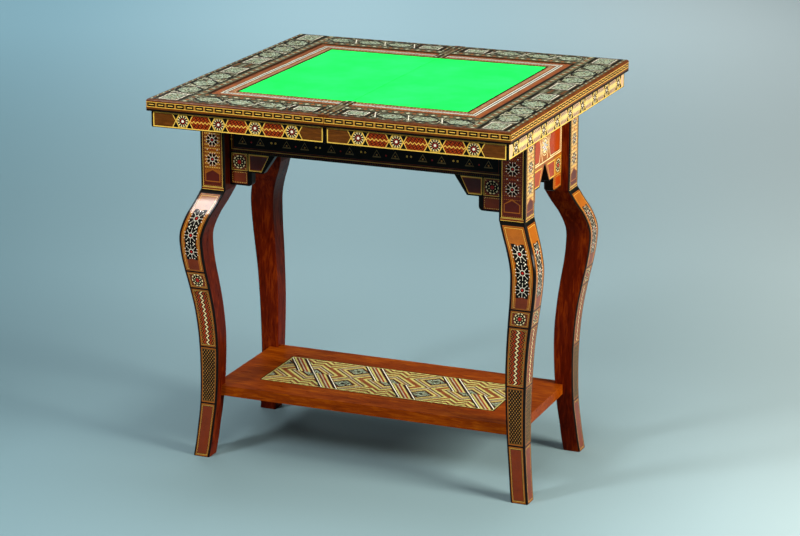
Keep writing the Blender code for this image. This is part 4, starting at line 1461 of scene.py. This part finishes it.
def front_field(half, low):
    """The long apron's row of outlined triangles, with small flowers between."""
    shapes = []
    base = low + TRIANGLE_BASE - FIELD_BOTTOM
    for step in range(-TRIANGLE_STEPS, TRIANGLE_STEPS):
        middle = (step + HALF) * TRIANGLE_PITCH
        shapes += kite("red", 2 * DOT, 2 * DOT, middle, base + TRIANGLE_HEIGHT / 3)
        for sign in (-1, 1):
            x = middle + sign * TRIANGLE_OFFSET
            if abs(x) > half - TRIANGLE_OFFSET:
                continue
            points = ((x - TRIANGLE_HALF, base), (x + TRIANGLE_HALF, base), (x, base + TRIANGLE_HEIGHT))
            # bronze outlines: a dim look painted as the shade under the top's overhang
            shapes += polygon("bronze", *points) + polygon("black", *shrunk(points, TRIANGLE_LINE))
            shapes += disc("gold", DOT, 6, x, base + TRIANGLE_HEIGHT / 3)
            flower = middle + sign * (TRIANGLE_PITCH / 2 - TRIANGLE_HALF * FLOWER_SHARE)
            shapes += disc("yellow", FLOWER, 6, flower, base + TRIANGLE_HEIGHT / 2)
            shapes += disc("rust", FLOWER_EYE, 4, flower, base + TRIANGLE_HEIGHT / 2)
    return shapes


def side_field(half, low, high):
    """The short apron's medallion between pointed panels."""
    middle = (low + high) / 2
    tall = (high - low) / 2 - 2 * BORDER
    shapes = []
    for sign in (-1, 1):
        far = sign * (half - 3 * BORDER)
        near = sign * MEDALLION_PANEL
        point = sign * (MEDALLION_PANEL + POINT)
        panel = (
            (far, middle - tall), (point, middle - tall), (near, middle),
            (point, middle + tall), (far, middle + tall),
        )
        shapes += nested(panel, ("cream", "rust", "scarlet"))
        for y in (middle - tall, middle + tall):
            shapes += stroke("cream", (near, middle), (near - sign * POINT, y), CELL_LINE)
    return shapes + moved(motif(MEDALLION_SHARES, MEDALLION), 0, middle)


def lay_apron(name, across, out_axis, centre, half, long_side):
    """The inlay on one side's apron and its two brackets."""
    low = APRON_BOTTOM + FIELD_BOTTOM
    high = BASE_TOP - FIELD_TOP
    side = half - BRACKET_EDGE
    edge = [(side - x, BRACKET_BOTTOM + BRACKET_EDGE + y) for x, y in bracket_edge()]
    top = BASE_TOP - BRACKET_EDGE
    hull = [(side, top), (-side, top)]
    hull += [(-x, y) for x, y in edge] + edge[::-1]
    # the long sides' black ground, gold lines and bronze-edged triangles are darker looks painted as shade
    # under the top's overhang
    ground = "black" if long_side else "orange"
    shapes = polygon("black", *hull)
    if not long_side:
        shapes += polygon(ground, *[(x * GROUND_SHARE, y + BORDER) for x, y in hull[2:]], *hull[:2])
    shapes += dots("rust", -half, half, APRON_BOTTOM + 2 * BORDER, DOT_PITCH, DOT, 2 * FINE)
    shapes += dots("bronze", -half, half, APRON_BOTTOM + HAIR, DOT_PITCH, DOT, HAIR)
    x1 = half - FIELD_END
    line = "gold" if long_side else "cream"
    shapes += hoop(line, -x1, low, x1, high, BORDER)
    shapes += framed(
        -x1 + BORDER, low + BORDER, x1 - BORDER, high - BORDER,
        (ground, BORDER), ("rust", HAIR), (ground, 0),
    )
    shapes += front_field(x1, low) if long_side else side_field(x1, low, high)
    inlay = bracket_inlay(half, "rust" if long_side else "orange", "wine" if long_side else "scarlet")
    shapes += inlay + flipped(inlay)
    lay_sheet(
        f"apron_inlay_{name}", "base", shapes, on_plane(centre, across, Z_AXIS, out_axis),
    )


def lay_aprons():
    """The inlay on the base's four sides."""
    middle = (apron_low.x + apron_high.x) / 2
    half = (apron_high.x - apron_low.x) / 2
    lay_apron("front", X_AXIS, -Y_AXIS, Vector((middle, apron_low.y, 0)), half, True)
    lay_apron("back", X_AXIS, Y_AXIS, Vector((middle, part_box("apron_back")[1].y, 0)), half, True)
    low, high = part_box("apron_right")
    half = (high.y - low.y) / 2
    lay_apron("right", Y_AXIS, X_AXIS, Vector((high.x, 0, 0)), half, False)
    lay_apron("left", Y_AXIS, -X_AXIS, Vector((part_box("apron_left")[0].x, 0, 0)), half, False)


# shelf panel
PANEL_WIDTH = panel_high.x - panel_low.x
PANEL_DEPTH = panel_high.y - panel_low.y
BAND_PITCH = 0.1795       # from one slanted band to the next
BAND_RUN = 0.1120         # how far a band runs along the panel
BAND_START = 0.0300
BAND_WIDE = 0.0350
SHELF_LINE = 0.0020
CELL_LENGTH = 0.0950
STRAND_SHARES = (
    # look, middle and width across a slanted band, as shares of its width
    ("clay", 0.10, 0.20), ("straw", 0.27, 0.14), ("rust", 0.41, 0.14), ("reed", 0.53, 0.10),
    ("scarlet", 0.65, 0.14), ("straw", 0.79, 0.14), ("rust", 0.92, 0.12),
)
LADDER_SHARES = (
    # the same, for the black and white line beside a band
    ("black", 0.0, 0.15), ("bone", 0.10, 0.08), ("black", 0.17, 0.05),
)
CELL_SHARES = ((0, 0.25), (0, 0.75), (HALF, HALF))  # back along a pitch, and across the depth
RING_SHARES = (
    # look and size of the lozenges within a cell, as a share of the cell
    ("rust", 2.20), ("straw", 2.04), ("clay", 1.88), ("olive", 1.74), ("straw", 1.66), ("rust", 1.50),
    ("clay", 1.42), ("straw", 1.28), ("brown", 1.12), ("reed", 1.00), ("clay", 0.90), ("straw", 0.78),
    ("rust", 0.64), ("black", 0.54), ("mosaic", 0.47), ("black", 0.12),
)


def slanted(look, x, wide, far, near):
    """A strip that leans along the panel, between two shares of its depth."""
    far_x = x + BAND_RUN * (1 - far)
    near_x = x + BAND_RUN * (1 - near)
    return polygon(
        look, (far_x - wide / 2, far * PANEL_DEPTH), (far_x + wide / 2, far * PANEL_DEPTH),
        (near_x + wide / 2, near * PANEL_DEPTH), (near_x - wide / 2, near * PANEL_DEPTH),
    )


def slanted_rows(rows, x, far, near):
    """Strips side by side that lean along the panel."""
    shapes = []
    for look, place_share, width_share in rows:
        shapes += slanted(look, x + place_share * BAND_WIDE, width_share * BAND_WIDE, far, near)
    return shapes


def lay_shelf_panel():
    """Interlaced bands and nested lozenges on the shelf's panel."""
    shapes = block("straw", 0, 0, PANEL_WIDTH, PANEL_DEPTH)
    bands = range(-1, ceil(PANEL_WIDTH / BAND_PITCH) + 1)
    for look, size_share in RING_SHARES:
        for index in bands:
            centre = BAND_START + (index + HALF) * BAND_PITCH + BAND_RUN / 2
            for back, depth_share in CELL_SHARES:
                shapes += kite(
                    look, size_share * CELL_LENGTH, size_share * PANEL_DEPTH / 2,
                    centre - back * BAND_PITCH, depth_share * PANEL_DEPTH,
                )
    for index in bands:
        start = BAND_START + index * BAND_PITCH
        shapes += slanted_rows(STRAND_SHARES, start - BAND_WIDE, 1, HALF)
        shapes += slanted_rows(STRAND_SHARES, start, HALF, 0)
        for x, far, near in ((start - BAND_WIDE, 1, HALF), (start + BAND_WIDE, HALF, 0), (start, 1, 0)):
            shapes += slanted_rows(LADDER_SHARES, x, far, near)
    shapes += hoop("black", 0, 0, PANEL_WIDTH, PANEL_DEPTH, SHELF_LINE)
    end_x = PANEL_WIDTH - SHELF_LINE
    end_y = PANEL_DEPTH - SHELF_LINE
    shapes += hoop("straw", SHELF_LINE, SHELF_LINE, end_x, end_y, SHELF_LINE)
    lay_sheet(
        "shelf_marquetry", "base", shapes,
        on_plane(Vector((panel_low.x, panel_low.y, panel_high.z)), X_AXIS, Y_AXIS, Z_AXIS),
    )


# felts
FELT_CELL = 0.008         # of the sheet's grid
FELT_ROUNDING = 0.0005
FELT_RAISE = 0.00015      # over the recess's packed baize
FELT_WAVE = 0.00005       # height of the unevenness
WAVES_X = 61              # radians per metre
WAVES_Y = 47
FELT_SHARP = 40           # degrees
FELT_COLOURS = ((0.008, 0.72, 0.075), (0.015, 0.92, 0.105), (0.025, 1.0, 0.15))
FELT = felt_cloth("green_felt", FELT_COLOURS)


def make_felt(side):
    """A sheet of felt that lies in the lift-out board's recess."""
    node = side + "_baize"
    low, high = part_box(node)
    length = high.x - low.x
    depth = high.y - low.y
    columns = ceil(length / FELT_CELL)
    rows = ceil(depth / FELT_CELL)
    grid = []
    for row in range(rows + 1):
        for column in range(columns + 1):
            grid.append((low.x + length * column / columns, low.y + depth * row / rows))
    verts = [(x, y, low.z) for x, y in grid]
    for x, y in grid:
        edge = min(x - low.x, high.x - x, y - low.y, high.y - y)
        fall = FELT_ROUNDING * max(0.0, 1 - edge / FELT_CELL) ** 2
        wave = FELT_WAVE * sin(x * WAVES_X) * sin(y * WAVES_Y)
        verts.append((x, y, high.z + FELT_RAISE - fall + wave))
    width = columns + 1
    layer = len(grid)
    faces = []
    for row in range(rows):
        for column in range(columns):
            a = row * width + column
            quad = (a, a + 1, a + 1 + width, a + width)
            faces.append(quad[::-1])
            faces.append(tuple(layer + index for index in quad))
    ring = list(range(columns))
    ring += [row * width + columns for row in range(rows)]
    ring += [rows * width + columns - column for column in range(columns)]
    ring += [(rows - row) * width for row in range(rows)]
    for index, a in enumerate(ring):
        b = ring[(index + 1) % len(ring)]
        faces.append((a, b, b + layer, a + layer))
    mesh = bpy.data.meshes.new(side + "_felt")
    mesh.from_pydata(verts, [], faces)
    mesh.materials.append(FELT)
    mesh.shade_smooth()
    mesh.set_sharp_from_angle(angle=radians(FELT_SHARP))
    felt = show(side + "_felt", mesh)
    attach(felt, side + "_lift_out")
    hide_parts(node)


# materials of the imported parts, and the part of a node's name that picks one; the first fits
UPRIGHT = timber(
    "mahogany_upright", ((0.030, 0.003, 0.0006), (0.100, 0.008, 0.001), (0.250, 0.034, 0.002)),
    stretch=(7, 7, 1), gloss=0.03, coat=0.01,
)
FLAT = timber(
    "mahogany_shelf", ((0.110, 0.016, 0.001), (0.225, 0.036, 0.001), (0.420, 0.100, 0.003)),
    stretch=(1, 7, 7), gloss=0.04, coat=0.01,
)
RIM_WOOD = timber(
    "rim_wood", ((0.040, 0.009, 0.002), (0.100, 0.027, 0.005), (0.180, 0.055, 0.009)),
    stretch=(5, 5, 5), gloss=0.10, coat=0.04,
)
EBONY = timber(
    "black_stained_wood", ((0.003, 0.002, 0.0015), (0.007, 0.005, 0.003), (0.014, 0.008, 0.005)),
    stretch=(6, 6, 6), gloss=0.03, coat=0.0,
)
PLAIN = timber(
    "plain_wood", ((0.16, 0.080, 0.035), (0.25, 0.135, 0.062), (0.34, 0.20, 0.105)),
    stretch=(1, 8, 8), gloss=0.2, coat=0.0, roughness=0.6,
)
BRASS = metal("aged_brass", (0.58, 0.46, 0.26), roughness=0.34)
STEEL = metal("steel", (0.42, 0.42, 0.43), roughness=0.34)
NODE_LOOKS = (
    ("leg_", UPRIGHT), ("shelf", FLAT),
    ("_rim_", RIM_WOOD), ("_hinge_block_", RIM_WOOD), ("_board", RIM_WOOD),
    ("apron_", EBONY), ("bracket_", EBONY), ("_case_", EBONY), ("_seam_wall", EBONY),
    ("_hinge_", BRASS), ("pivot_bolt", STEEL), ("pivot_washer", STEEL), ("pivot_nut", STEEL),
    ("", PLAIN),
)


def dress_nodes():
    """Better materials for the parts that stay as they are."""
    for name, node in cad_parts.items():
        material = next(look for mark, look in NODE_LOOKS if mark in name)
        for slot in node.material_slots:
            slot.material = material


dress_nodes()
for leaf_name, leaf_side in (("right_leaf", 1), ("left_leaf", -1)):
    lay_edge_bands(leaf_name, leaf_side)
    lay_top_border(leaf_name, leaf_side)
    lay_insert_frame(leaf_name, leaf_side)
    make_felt(leaf_name.removesuffix("_leaf"))
for corner_name in ("front_left", "front_right", "back_left", "back_right"):
    lay_leg(corner_name)
lay_aprons()
lay_shelf_panel()
